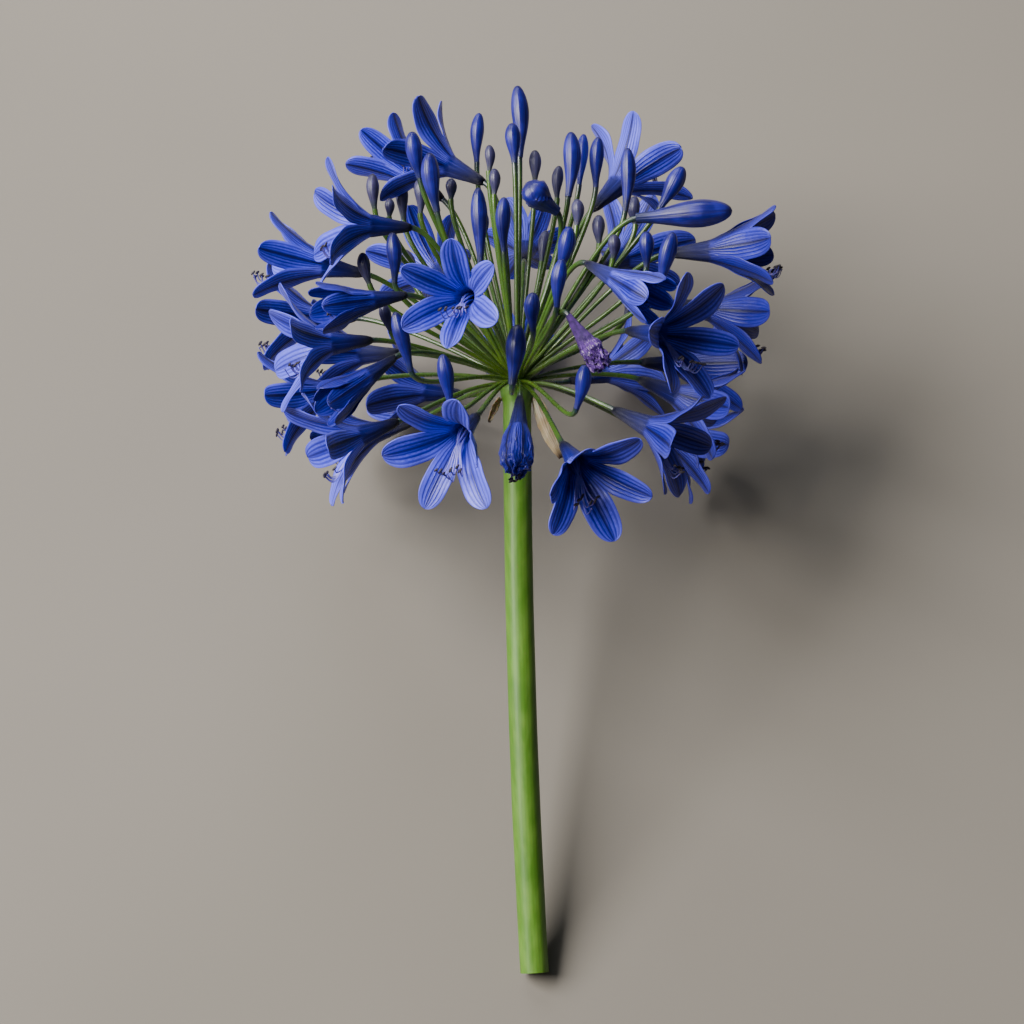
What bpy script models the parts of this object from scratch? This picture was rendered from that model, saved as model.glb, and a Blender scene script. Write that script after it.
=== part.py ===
"""Agapanthus flower head on its cut scape, lying on its side.

The plant is laid out in its own upright frame, in millimetres: x to the right, y up along the
scape and z to the front, from the point where the pedicels part. One empty turns that frame
until the scape's cut end and the lowest tepals lie on the plane z = 0.
"""

import math
from dataclasses import dataclass

import bmesh
import bpy
from mathutils import Matrix, Vector

MM = 0.001

# How the cut flower lies
LIE_ANGLE = math.radians(20.0)
SCAPE_LENGTH = 228.0
SCAPE_RADIUS = 5.5
SCAPE_BEARING = 0.95
UMBEL_HEIGHT = (
    SCAPE_LENGTH * math.sin(LIE_ANGLE) + SCAPE_BEARING * SCAPE_RADIUS * math.cos(LIE_ANGLE)
)
UMBEL_PLACE = Vector((0.7, 48.9, UMBEL_HEIGHT))
UPWARD = Vector((0.0, math.sin(LIE_ANGLE), math.cos(LIE_ANGLE)))
SURFACE_SNAP = 0.2

# Scape and receptacle
SCAPE_LEAN = 6.7
SCAPE_STEPS = 8
SCAPE_SIDES = 12
RECEPTACLE_RADIUS = 6.8
RECEPTACLE_START = -8.0
RECEPTACLE_WIDEST = -2.0
RECEPTACLE_RISE = 4.5
RECEPTACLE_DOME = ((RECEPTACLE_RISE * 0.5, 0.86), (RECEPTACLE_RISE, 0.45))

# Pedicels
PEDICEL_SIDES = 4
PEDICEL_STEPS = 5
PEDICEL_RADIUS = 0.85
PEDICEL_TIP_RADIUS = 1.15
PEDICEL_SWELL_POWER = 3
PEDICEL_ROOT_DEPTH = 4.0
PEDICEL_LIFT = 0.28
LEAVE_SPEED = 0.9
ARRIVE_SPEED = 0.55
SEAT_GAP = 0.3

# Florets
TEPALS = 6
TEPAL_THICKNESS = 0.7
TUBE_LENGTH = 16.0
TUBE_BASE_RADIUS = 1.9
TUBE_MID_RADIUS = 2.7
THROAT_RADIUS = 4.3
TEPAL_LENGTH = 28.0
OUTER_HALF_WIDTH = 5.2
INNER_HALF_WIDTH = 6.0
TEPAL_WIDEST = 0.55
TEPAL_TIP_POWER = 2.8
TEPAL_CUP = 0.27
TEPAL_CUP_FALL = 0.15
TEPAL_ROWS = (0.52, 0.86)
THROAT_FLARE = 4.0
THROAT_FLARE_SHARE = 0.4
TIP_FLARE_SHARE = 1.05
WHORL_FLARE = 4.0
FLARE_WOBBLE = 7.0
LENGTH_WOBBLE = 0.05
CLOSED_WIDTH_SHARE = 0.9
STRAIGHT_RATE = 0.001
MIN_ACROSS = 0.2
WAVE_STEPS = (12.9898, 78.233)
WAVE_HEIGHT = 43758.5453

# Buds
BUD_SIDES = 6
BUD_PROFILE = ((0.0, 0.40), (0.30, 0.66), (0.66, 1.0), (0.90, 0.66))
YOUNG_BUD_PROFILE = ((0.35, 0.8), (0.68, 1.0), (0.90, 0.62), (1.0, 0.12))

# Spathe remains
BRACT_THICKNESS = 0.6
STRIP_RIB = (
    (6.9, -5.0, 1.5),
    (8.6, -11.0, 3.0),
    (11.5, -19.0, 5.0),
    (14.5, -25.0, 5.5),
    (17.0, -29.5, 5.0),
)
STRIP_WIDTHS = (2.6, 3.6, 3.4, 2.4, 0.8)
STRIP_ACROSS = ((0.3, 0.1, 1.0), (1.0, 0.5, 0.5))
SHRED_RIB = ((-6.9, -5.0, 1.0), (-9.0, -9.0, 2.0), (-11.0, -15.0, 3.0))
SHRED_WIDTHS = (2.0, 2.4, 0.8)
SHRED_ACROSS = ((-0.4, 0.1, 1.0), (-1.0, 0.4, 0.5))

# Surfaces: base colour and roughness
STEM_GREEN = ((0.16, 0.33, 0.07), 0.5)
TEPAL_BLUE = ((0.05, 0.07, 0.55), 0.45)
BUD_BLUE = ((0.04, 0.05, 0.30), 0.45)
DRY_SPATHE = ((0.50, 0.36, 0.20), 0.8)
WITHERED_PURPLE = ((0.16, 0.06, 0.30), 0.7)


@dataclass(frozen=True)
class Bloom:
    """One floret: where its pedicel ends, where it faces, how far it opens and how far it closes."""

    name: str
    root: tuple
    aim: tuple
    flare: float
    spin: float
    size: float = 1.0
    close: float = 0.0


@dataclass(frozen=True)
class Bud:
    """One bud, from the end of its pedicel to its tip."""

    root: tuple
    tip: tuple
    radius: float


BLOOMS = (
    Bloom("bloom_top_left", (-30, 79, -23), (-0.74, 0.62, -0.22), 32, 10, 0.95),
    Bloom("bloom_top_left_dark", (-13, 80, 4), (-0.85, 0.47, -0.30), 64, -10),
    Bloom("bloom_left_high", (-41, 58, 24), (-0.97, 0.00, 0.20), 66, 20),
    Bloom("bloom_left_half_open", (-60, 44, 2), (-0.95, 0.18, -0.05), 38, 0),
    Bloom("bloom_left_closed", (-42, 28, 44), (-0.92, -0.20, 0.30), 22, 0, 0.84),
    Bloom("bloom_left_middle", (-56, 14, 24), (-0.95, -0.12, 0.20), 62, 15),
    Bloom("bloom_left_trumpet", (-46, 4, 46), (-0.76, -0.60, 0.30), 18, 0, 0.82),
    Bloom("bloom_left_edge", (-65, 31, -26), (-0.98, 0.03, -0.15), 60, 0),
    Bloom("bloom_left_low_edge", (-60, 2, -2), (-0.95, -0.25, -0.10), 55, 0),
    Bloom("bloom_left_low", (-46, -17, 20), (-0.88, -0.38, 0.22), 62, 0),
    Bloom("bloom_front_low_left", (-15, -19, 52), (-0.38, -0.53, 0.76), 64, 0),
    Bloom("bloom_front_left", (-15, 25, 56), (-0.30, -0.14, 0.94), 54, 28, 0.90),
    Bloom("bloom_front_hanging", (1, -9, 32), (-0.05, -0.93, 0.35), 55, 0, 0.80, 86),
    Bloom("bloom_front_low_right", (17, -29, 47), (0.32, -0.58, 0.76), 58, 0),
    Bloom("bloom_right_low", (37, -13, 24), (0.85, -0.45, 0.30), 60, 10),
    Bloom("bloom_right_low_edge", (48, 3, -4), (0.90, -0.38, -0.05), 55, 0),
    Bloom("bloom_front_right", (42, 16, 34), (0.70, -0.18, 0.60), 66, 0),
    Bloom("bloom_front_right_half_open", (26, 40, 46), (0.72, -0.48, 0.42), 25, 0, 0.84),
    Bloom("bloom_right_edge", (61, 34, -8), (0.98, -0.18, -0.05), 56, 0),
    Bloom("bloom_right_high", (59, 50, 13), (0.99, 0.03, 0.10), 36, 0),
    Bloom("bloom_top_right", (30, 72, -10), (0.55, 0.60, -0.35), 64, 0),
    Bloom("bloom_right_behind", (50, 14, -32), (0.90, -0.02, -0.30), 48, 0),
    Bloom("bloom_withered", (19, 20, 48), (0.50, -0.80, 0.20), 20, 0, 0.60, 26),
    Bloom("bloom_back_left_high", (-26, 46, -46), (-0.35, 0.45, -0.60), 60, 0),
    Bloom("bloom_back_right_high", (34, 54, -44), (0.45, 0.35, -0.60), 60, 0),
    Bloom("bloom_back_top", (3, 58, -45), (0.05, 0.42, -0.80), 48, 0, 0.92),
    Bloom("bloom_back_left", (-48, 20, -46), (-0.75, 0.00, -0.20), 60, 0),
    Bloom("bloom_back_right", (48, -9, -46), (0.77, -0.28, -0.12), 56, 0),
    Bloom("bloom_back_low_right", (22, 12, -71), (0.70, 0.20, -0.20), 60, 30),
    Bloom("bloom_back_low_left", (-22, 6, -70), (-0.75, 0.10, -0.10), 60, 30),
    Bloom("bloom_under_left", (-42, -10, -34), (-0.85, -0.22, -0.15), 55, 0),
    Bloom("bloom_back_middle", (0, 20, -62), (0.00, 0.22, -0.62), 50, 0, 0.90),
)

BUDS = (
    Bud((1, 91, 0), (0, 120, 0), 3.6),
    Bud((-1, 86, 12), (-2, 102, 12), 3.2),
    Bud((-16, 91, -12), (-15, 112, -13), 2.8),
    Bud((20, 73, 10), (21, 99, 10), 3.6),
    Bud((25, 84, -22), (27, 106, -24), 2.6),
    Bud((31, 78, 4), (32, 98, 5), 3.0),
    Bud((42, 66, 16), (43, 91, 17), 3.1),
    Bud((56, 69, 8), (65, 85, 10), 3.6),
    Bud((50, 43, 21), (50, 57, 22), 3.0),
    Bud((55, 35, 26), (60, 55, 30), 3.3),
    Bud((16, 39, 32), (20, 56, 36), 3.3),
    Bud((15, 23, 46), (17, 41, 49), 3.0),
    Bud((6, 13, 52), (6, 27, 56), 3.0),
    Bud((-2, -9, 64), (0, 13, 67), 3.9),
    Bud((-14, 42, 34), (-15, 71, 37), 3.3),
    Bud((-5, 49, 22), (-5, 70, 24), 3.0),
    Bud((-38, 79, 17), (-41, 97, 19), 3.3),
    Bud((-31, 65, 20), (-34, 88, 22), 3.6),
    Bud((-47, 35, 32), (-48, 54, 35), 3.0),
    Bud((-40, -2, 50), (-46, 20, 54), 3.1),
    Bud((-25, -16, 56), (-28, 3, 60), 3.0),
    Bud((22, -17, 56), (25, -1, 60), 3.0),
    Bud((46, 62, 22), (83, 64, 27), 5.4),
)

# The curled floret, rolled up into a ball at the top
CURLED = Bud((15.5, 66.0, 16.0), (4.5, 74.5, 26.0), 5.4)

YOUNG_BUDS = (
    Bud((-45, 67, -10), (-46, 84, -10), 2.6),
    Bud((-56, 69, 2), (-57, 84, 2), 2.6),
    Bud((-48, 15, 36), (-51, 26, 38), 2.3),
    Bud((-11, 82, 13), (-11, 93, 13), 2.1),
    Bud((-9, 72, 16), (-9, 83, 16), 2.3),
    Bud((7, 80, 4), (7, 93, 4), 2.5),
    Bud((47, 65, -8), (47, 77, -8), 2.6),
    Bud((37, 46, 20), (37, 56, 21), 2.6),
    Bud((32, 53, 14), (32, 65, 14), 2.6),
    Bud((23, 59, 20), (23, 70, 20), 2.6),
    Bud((-26, 72, 7), (-26, 81, 7), 2.3),
    Bud((-38, 66, 9), (-39, 80, 9), 2.4),
    Bud((-50, 64, 12), (-50, 72, 12), 2.0),
    Bud((-57, 36, 20), (-60, 49, 20), 2.5),
    Bud((10, 56, -40), (12, 70, -42), 2.5),
    Bud((-14, 66, -44), (-15, 80, -46), 2.6),
    Bud((44, 34, -46), (48, 46, -50), 2.6),
    Bud((-42, 48, -40), (-46, 62, -42), 2.5),
    Bud((16, 76, -10), (17, 90, -11), 2.4),
)


def wobble(first, second):
    """A repeatable value from -1 to 1 that stands for the plant's unevenness."""
    wave = math.sin(WAVE_STEPS[0] * first + WAVE_STEPS[1] * second) * WAVE_HEIGHT
    return 2.0 * (wave - math.floor(wave)) - 1.0


def axes_along(aim, spin=0.0):
    """Turn that takes +Z to aim, with +Y kept as near the scape's direction as it can be."""
    forward = Vector(aim).normalized()
    upright = Vector((0.0, 1.0, 0.0))
    across = upright.cross(forward)
    if across.length < MIN_ACROSS:
        across = Vector((1.0, 0.0, 0.0))
    across = (across - across.dot(forward) * forward).normalized()
    over = forward.cross(across)
    turn = Matrix((across, over, forward)).transposed()
    return turn @ Matrix.Rotation(math.radians(spin), 3, "Z")


def height(point):
    """Height over the surface of a point in the plant's frame, in millimetres."""
    return UPWARD.dot(point) + UMBEL_HEIGHT


def pressed(point, least, aim=(0.0, 0.0, 0.0)):
    """The point, lifted where it would lie lower than least, and bent on as far along the aim."""
    lift = max(0.0, least - height(point))
    onward = Vector(aim) - UPWARD * UPWARD.dot(Vector(aim))
    return point + lift * (UPWARD + onward)


def material(name, look):
    """A plain plant surface from its base colour and roughness."""
    colour, roughness = look
    made = bpy.data.materials.new(name)
    made.use_nodes = True
    shader = made.node_tree.nodes["Principled BSDF"]
    shader.inputs["Base Color"].default_value = (*colour, 1.0)
    shader.inputs["Roughness"].default_value = roughness
    shader.inputs["Metallic"].default_value = 0.0
    return made


def finish_object(name, bm, surface, frame, smooth_angle=40.0):
    """Turn a bmesh in millimetres into an object of the plant."""
    bmesh.ops.scale(bm, vec=(MM, MM, MM), verts=bm.verts)
    bmesh.ops.recalc_face_normals(bm, faces=bm.faces)
    mesh = bpy.data.meshes.new(name)
    bm.to_mesh(mesh)
    bm.free()
    mesh.shade_smooth()
    mesh.set_sharp_from_angle(angle=math.radians(smooth_angle))
    mesh.materials.append(surface)
    made = bpy.data.objects.new(name, mesh)
    bpy.context.scene.collection.objects.link(made)
    made.parent = frame
    return made


def add_ring(bm, centre, turn, radius, sides, phase=0.0):
    """Vertices round a centre, in the plane that the turn's X and Y axes span."""
    ring = []
    for side in range(sides):
        angle = phase + side * math.tau / sides
        offset = Vector((radius * math.cos(angle), radius * math.sin(angle), 0.0))
        ring.append(bm.verts.new(centre + turn @ offset))
    return ring


def bridge(bm, lower, upper):
    """Triangles between two rings of the same count."""
    count = len(lower)
    for side in range(count):
        after = (side + 1) % count
        bm.faces.new((lower[side], lower[after], upper[after]))
        bm.faces.new((lower[side], upper[after], upper[side]))


def swept_tube(stations, sides):
    """A closed tube through stations of (centre, direction, radius)."""
    bm = bmesh.new()
    turn = axes_along(stations[0][1])
    rings = []
    for centre, direction, radius in stations:
        bend = (turn @ Vector((0.0, 0.0, 1.0))).rotation_difference(Vector(direction))
        turn = bend.to_matrix() @ turn
        rings.append(add_ring(bm, centre, turn, radius, sides, math.pi / sides))
    for lower, upper in zip(rings, rings[1:]):
        bridge(bm, lower, upper)
    bm.faces.new(reversed(rings[0]))
    bm.faces.new(rings[-1])
    bmesh.ops.triangulate(bm, faces=[face for face in bm.faces if len(face.verts) > 3])
    return bm


def curve_at(start, leave, end, arrive, share):
    """Point and direction on the cubic from start to end, with its end speeds leave and arrive."""
    s2 = share * share
    s3 = s2 * share
    point = (
        (2 * s3 - 3 * s2 + 1) * start
        + (s3 - 2 * s2 + share) * leave
        + (3 * s2 - 2 * s3) * end
        + (s3 - s2) * arrive
    )
    speed = (
        (6 * s2 - 6 * share) * start
        + (3 * s2 - 4 * share + 1) * leave
        + (6 * share - 6 * s2) * end
        + (3 * s2 - 2 * share) * arrive
    )
    return point, speed.normalized()


def pedicel_stations(root, aim):
    """Centres, directions and radii of a pedicel that ends under a floret's root."""
    end = Vector(root)
    outward = end.normalized()
    lift = PEDICEL_LIFT * max(0.0, 1.0 - outward.y)
    leave = (outward + Vector((0.0, lift, 0.0))).normalized()
    start = leave * PEDICEL_ROOT_DEPTH
    span = (end - start).length
    stations = []
    for step in range(PEDICEL_STEPS + 1):
        share = step / PEDICEL_STEPS
        point, direction = curve_at(
            start, leave * span * LEAVE_SPEED, end, aim * span * ARRIVE_SPEED, share
        )
        swell = share**PEDICEL_SWELL_POWER
        radius = PEDICEL_RADIUS + (PEDICEL_TIP_RADIUS - PEDICEL_RADIUS) * swell
        stations.append((point, direction, radius))
    return stations


def pedicel(root, aim, wall=0.0):
    """The stalk of a floret that is a piece of its own, ending a seat gap short of its wall."""
    seat = Vector(root) - aim * (SEAT_GAP + wall)
    return swept_tube(pedicel_stations(seat, aim), PEDICEL_SIDES)


def young_bud(bud):
    """A pedicel that swells into its own young bud."""
    root = Vector(bud.root)
    along = Vector(bud.tip) - root
    aim = along.normalized()
    stations = pedicel_stations(root, aim)
    for share, width in YOUNG_BUD_PROFILE:
        stations.append((root + along * share, aim, bud.radius * width))
    return swept_tube(stations, PEDICEL_SIDES + 1)


def scape():
    """The stem from its cut end to the domed receptacle."""
    stations = []
    for step in range(SCAPE_STEPS):
        share = 1.0 - step / SCAPE_STEPS
        centre = Vector((SCAPE_LEAN * share**2, -SCAPE_LENGTH * share, 0.0))
        direction = Vector((-2.0 * SCAPE_LEAN * share, SCAPE_LENGTH, 0.0)).normalized()
        stations.append((centre, direction, SCAPE_RADIUS))
    top = Vector((0.0, 1.0, 0.0))
    stations.append((top * RECEPTACLE_START, top, SCAPE_RADIUS))
    stations.append((top * RECEPTACLE_WIDEST, top, RECEPTACLE_RADIUS))
    for rise, width in RECEPTACLE_DOME:
        stations.append((top * rise, top, RECEPTACLE_RADIUS * width))
    bm = swept_tube(stations, SCAPE_SIDES)
    for vertex in bm.verts:
        vertex.co = pressed(vertex.co, 0.0)
    return bm


def tepal_centre(bloom, tepal, share):
    """Distance from the axis, height and flare of a tepal's midrib."""
    whorl = WHORL_FLARE if tepal % 2 else -WHORL_FLARE
    uneven = FLARE_WOBBLE * wobble(tepal + 1, bloom.spin + 10.0 * bloom.root[0])
    first = math.radians(THROAT_FLARE + THROAT_FLARE_SHARE * bloom.flare)
    last = math.radians(bloom.flare * TIP_FLARE_SHARE - bloom.close + whorl + uneven)
    length = TEPAL_LENGTH * bloom.size * (1.0 + LENGTH_WOBBLE * wobble(tepal + 7, bloom.root[1]))
    rate = last - first
    flare = first + rate * share
    radius = THROAT_RADIUS * bloom.size
    tube = TUBE_LENGTH * bloom.size
    if abs(rate) < STRAIGHT_RATE:
        return radius + length * share * math.sin(first), tube + length * share, flare
    outward = (math.cos(first) - math.cos(flare)) / rate
    onward = (math.sin(flare) - math.sin(first)) / rate
    return radius + length * outward, tube + length * onward, flare


def tepal_half_width(tepal, share):
    """Half the width of a full size tepal at a share of its length from the throat."""
    widest = INNER_HALF_WIDTH if tepal % 2 else OUTER_HALF_WIDTH
    narrow = THROAT_RADIUS * 0.5
    if share < TEPAL_WIDEST:
        rise = math.sin(0.5 * math.pi * share / TEPAL_WIDEST)
        return narrow + (widest - narrow) * rise
    fall = (share - TEPAL_WIDEST) / (1.0 - TEPAL_WIDEST)
    return widest * math.sqrt(max(0.0, 1.0 - fall**TEPAL_TIP_POWER))


def tepal_point(bloom, tepal, share, side):
    """A point of a tepal in the floret's own frame, side being -1 to 1 across it."""
    radius, rise, flare = tepal_centre(bloom, tepal, share)
    room = CLOSED_WIDTH_SHARE * radius * math.tan(math.pi / TEPALS)
    half = min(tepal_half_width(tepal, share) * bloom.size, room)
    cup = half * (TEPAL_CUP - TEPAL_CUP_FALL * share) * abs(side)
    angle = tepal * math.tau / TEPALS
    outward = Vector((math.cos(angle), math.sin(angle), 0.0))
    across = Vector((-math.sin(angle), math.cos(angle), 0.0))
    inward = Vector((0.0, 0.0, math.sin(flare))) - outward * math.cos(flare)
    return outward * radius + Vector((0.0, 0.0, rise)) + across * half * side + inward * cup


def perianth(bloom, turn):
    """The floret's sheet: a tube that is closed at its base and parts into six tepals."""
    bm = bmesh.new()
    size = bloom.size
    root = Vector(bloom.root)
    aim = Vector(bloom.aim).normalized()
    level = Matrix.Identity(3)

    def vertex(point):
        place = pressed(root + turn @ point, TEPAL_THICKNESS * 0.5, aim)
        return bm.verts.new(turn.inverted() @ (place - root))

    base = add_ring(bm, Vector((0, 0, 0)), level, TUBE_BASE_RADIUS * size, TEPALS)
    middle_centre = Vector((0, 0, TUBE_LENGTH * size * 0.5))
    middle = add_ring(bm, middle_centre, level, TUBE_MID_RADIUS * size, TEPALS)
    throat_centre = Vector((0, 0, TUBE_LENGTH * size))
    throat = add_ring(bm, throat_centre, level, THROAT_RADIUS * size, 2 * TEPALS)
    bm.faces.new(base)
    bridge(bm, base, middle)
    for tepal in range(TEPALS):
        rib = throat[2 * tepal]
        left = throat[2 * tepal - 1]
        right = throat[2 * tepal + 1]
        after = (tepal + 1) % TEPALS
        bm.faces.new((middle[tepal], right, rib))
        bm.faces.new((middle[tepal], middle[after], right))
        bm.faces.new((middle[after], throat[(2 * after) % (2 * TEPALS)], right))
        row = (left, rib, right)
        for share in TEPAL_ROWS:
            points = [tepal_point(bloom, tepal, share, side) for side in (-1.0, 0.0, 1.0)]
            next_row = tuple(vertex(point) for point in points)
            for lane in (0, 1):
                corners = (row[lane], row[lane + 1], next_row[lane + 1], next_row[lane])
                split = 0 if lane == 0 else 1
                bm.faces.new((corners[split], corners[split + 1], corners[split + 2]))
                bm.faces.new((corners[split], corners[split + 2], corners[(split + 3) % 4]))
            row = next_row
        tip = vertex(tepal_point(bloom, tepal, 1.0, 0.0))
        bm.faces.new((row[0], row[1], tip))
        bm.faces.new((row[1], row[2], tip))
    bmesh.ops.triangulate(bm, faces=[face for face in bm.faces if len(face.verts) > 3])
    return bm


def place_floret(made, root, turn):
    """Set a floret on the end of its pedicel, along its axis."""
    made.location = Vector(root) * MM
    made.rotation_euler = turn.to_euler()


def applied(made):
    """Keep the object as its modifiers leave it."""
    depsgraph = bpy.context.evaluated_depsgraph_get()
    final = bpy.data.meshes.new_from_object(made.evaluated_get(depsgraph))
    made.modifiers.clear()
    made.data = final


def thicken(made, thickness):
    """Give a sheet its real thickness, half to each side."""
    wall = made.modifiers.new("thickness", "SOLIDIFY")
    wall.thickness = thickness * MM
    wall.offset = 0.0
    wall.use_even_offset = True
    applied(made)


def lay_flat(made, root, turn):
    """Bring what all but touches the surface level with it, so that it bears on flat spots."""
    for vertex in made.data.vertices:
        place = root + turn @ (vertex.co / MM)
        if height(place) < SURFACE_SNAP:
            vertex.co = turn.inverted() @ (place - UPWARD * height(place) - root) * MM


def add_bloom(bloom, surface, frame):
    """One open floret as a thin walled funnel."""
    turn = axes_along(bloom.aim, bloom.spin)
    made = finish_object(bloom.name, perianth(bloom, turn), surface, frame)
    place_floret(made, bloom.root, turn)
    thicken(made, TEPAL_THICKNESS)
    lay_flat(made, Vector(bloom.root), turn)
    return made


def add_bud(name, bud, surface, frame):
    """One closed bud: a club that is thickest near its tip."""
    bm = bmesh.new()
    along = Vector(bud.tip) - Vector(bud.root)
    level = Matrix.Identity(3)
    rings = []
    for share, width in BUD_PROFILE:
        centre = Vector((0.0, 0.0, along.length * share))
        rings.append(add_ring(bm, centre, level, bud.radius * width, BUD_SIDES))
    for lower, upper in zip(rings, rings[1:]):
        bridge(bm, lower, upper)
    bm.faces.new(reversed(rings[0]))
    tip = bm.verts.new((0.0, 0.0, along.length))
    for side in range(BUD_SIDES):
        bm.faces.new((rings[-1][side], rings[-1][(side + 1) % BUD_SIDES], tip))
    bmesh.ops.triangulate(bm, faces=[face for face in bm.faces if len(face.verts) > 3])
    made = finish_object(name, bm, surface, frame)
    place_floret(made, bud.root, axes_along(along))
    return made


def add_bract(name, rib, widths, across, surface, frame):
    """A dry scrap of the spathe: a narrow sheet along its midrib, twisted from end to end."""
    bm = bmesh.new()
    first, last = (Vector(edge).normalized() for edge in across)
    rows = []
    for number, (centre, width) in enumerate(zip(rib, widths)):
        middle = Vector(centre)
        side = first.lerp(last, number / (len(rib) - 1)).normalized()
        edges = (middle - side * width * 0.5, middle + side * width * 0.5)
        rows.append([bm.verts.new(edge) for edge in edges])
    for lower, upper in zip(rows, rows[1:]):
        bm.faces.new((lower[0], lower[1], upper[1]))
        bm.faces.new((lower[0], upper[1], upper[0]))
    made = finish_object(name, bm, surface, frame)
    thicken(made, BRACT_THICKNESS)
    return made


def add_stems(surface, frame):
    """Scape, receptacle, pedicels and young buds, grown together in one piece."""
    stems = finish_object("scape_and_pedicels", scape(), surface, frame)
    parts = [young_bud(bud) for bud in YOUNG_BUDS]
    for bloom in BLOOMS:
        aim = Vector(bloom.aim).normalized()
        parts.append(pedicel(bloom.root, aim, TEPAL_THICKNESS / 2))
    for bud in (*BUDS, CURLED):
        parts.append(pedicel(bud.root, (Vector(bud.tip) - Vector(bud.root)).normalized()))
    grown = bpy.data.collections.new("grown_from_receptacle")
    bpy.context.scene.collection.children.link(grown)
    for number, part in enumerate(parts):
        stalk = finish_object(f"stalk_{number:02d}", part, surface, frame)
        bpy.context.scene.collection.objects.unlink(stalk)
        grown.objects.link(stalk)
    union = stems.modifiers.new("grow_together", "BOOLEAN")
    union.operation = "UNION"
    union.operand_type = "COLLECTION"
    union.collection = grown
    union.solver = "EXACT"
    applied(stems)
    for stalk in list(grown.objects):
        bpy.data.objects.remove(stalk)
    bpy.data.collections.remove(grown)
    return stems


def main():
    """Lay the whole flower head out."""
    for old in list(bpy.data.objects):
        bpy.data.objects.remove(old)
    frame = bpy.data.objects.new("lying_frame", None)
    bpy.context.scene.collection.objects.link(frame)
    frame.rotation_euler = (LIE_ANGLE, 0.0, 0.0)
    frame.location = UMBEL_PLACE * MM
    green = material("stem_green", STEM_GREEN)
    blue = material("tepal_blue", TEPAL_BLUE)
    navy = material("bud_blue", BUD_BLUE)
    straw = material("dry_spathe", DRY_SPATHE)
    purple = material("withered_purple", WITHERED_PURPLE)
    for bloom in BLOOMS:
        surface = purple if bloom.name == "bloom_withered" else blue
        add_bloom(bloom, surface, frame)
    for number, bud in enumerate(BUDS, start=1):
        add_bud(f"bud_{number:02d}", bud, navy, frame)
    add_bud("bloom_curled", CURLED, blue, frame)
    add_bract("spathe_strip", STRIP_RIB, STRIP_WIDTHS, STRIP_ACROSS, straw, frame)
    add_bract("spathe_shred", SHRED_RIB, SHRED_WIDTHS, SHRED_ACROSS, straw, frame)
    add_stems(green, frame)
    bpy.context.view_layer.update()


main()
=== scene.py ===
"""Looks of a cut agapanthus flower head that lies on its side.

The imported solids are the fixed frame. Each sub-assembly of the plant is a class that grows its own
finer meshes in the place of its solids, from the same driving sizes. They are laid out in the
plant's frame, in millimetres: x to the right, y up along the scape and z to the front, from the
point where the pedicels part.
"""

import logging
import math
from collections.abc import Callable, Iterable, Sequence
from dataclasses import dataclass, replace
from enum import Enum

import bmesh
import bpy
from mathutils import Matrix, Vector, noise


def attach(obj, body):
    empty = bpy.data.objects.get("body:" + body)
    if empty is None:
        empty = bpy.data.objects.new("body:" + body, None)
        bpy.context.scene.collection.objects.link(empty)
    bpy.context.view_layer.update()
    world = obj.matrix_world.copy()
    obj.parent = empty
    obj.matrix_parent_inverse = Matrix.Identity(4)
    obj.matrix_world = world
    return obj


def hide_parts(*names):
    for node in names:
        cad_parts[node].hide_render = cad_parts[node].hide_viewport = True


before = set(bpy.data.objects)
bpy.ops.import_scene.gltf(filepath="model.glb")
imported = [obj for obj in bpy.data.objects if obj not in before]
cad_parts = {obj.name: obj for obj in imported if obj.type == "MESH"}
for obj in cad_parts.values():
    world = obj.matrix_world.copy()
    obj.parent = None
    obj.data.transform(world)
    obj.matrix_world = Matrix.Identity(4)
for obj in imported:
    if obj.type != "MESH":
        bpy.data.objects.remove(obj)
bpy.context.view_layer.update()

Colour = tuple[float, float, float]
Point = tuple[float, float, float]
Pair = tuple[float, float]
Place = Callable[[float, float], Vector]
Line = Callable[[float], tuple[Vector, float]]
Socket = bpy.types.NodeSocket

log = logging.getLogger("agapanthus")

MM = 0.001
BODY = "root"
STEM_NODE = "scape_and_pedicels"
PLANT_UP = Vector((0.0, 1.0, 0.0))
TEPALS = 6
SURFACE_MAP = "surface_map"
TONE = "tone"
MERGE_DISTANCE = 0.01
SHARP_ANGLE = math.radians(50.0)
PELLET_SIDES = 6
PELLET_RINGS = 5
# The noise library starts from the clock, so without this each run has other creases
CREASE_SEED = 7

# The plant's unevenness, as in the solids
WAVE_STEPS = (12.9898, 78.233)
WAVE_HEIGHT = 43758.5453
MIN_ACROSS = 0.2


def wobble(first: float, second: float) -> float:
    """A repeatable value from -1 to 1 that stands for the plant's unevenness.

    Args:
        first: what tells one part of a piece from another.
        second: what tells one piece from another.

    Returns:
        The value.
    """
    wave = math.sin(WAVE_STEPS[0] * first + WAVE_STEPS[1] * second) * WAVE_HEIGHT
    return 2.0 * (wave - math.floor(wave)) - 1.0


def ease(value: float, low: float, high: float) -> float:
    """A smooth rise from 0 at low to 1 at high.

    Args:
        value: where to read the rise.
        low: where it starts.
        high: where it ends.

    Returns:
        The height of the rise there, from 0 to 1.
    """
    share = min(1.0, max(0.0, (value - low) / (high - low)))
    return share * share * (3.0 - 2.0 * share)


def axes_along(aim: Sequence[float], spin: float = 0.0) -> Matrix:
    """A turn that takes +Z to an aim, with +Y as near the scape's direction as it can be.

    Args:
        aim: the direction.
        spin: a further turn about the aim, in degrees.

    Returns:
        The turn, as a 3 by 3 matrix.
    """
    forward = Vector(aim).normalized()
    across = PLANT_UP.cross(forward)
    if across.length < MIN_ACROSS:
        across = Vector((1.0, 0.0, 0.0))
    across = (across - across.dot(forward) * forward).normalized()
    over = forward.cross(across)
    turn = Matrix((across, over, forward)).transposed()
    return turn @ Matrix.Rotation(math.radians(spin), 3, "Z")


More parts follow.
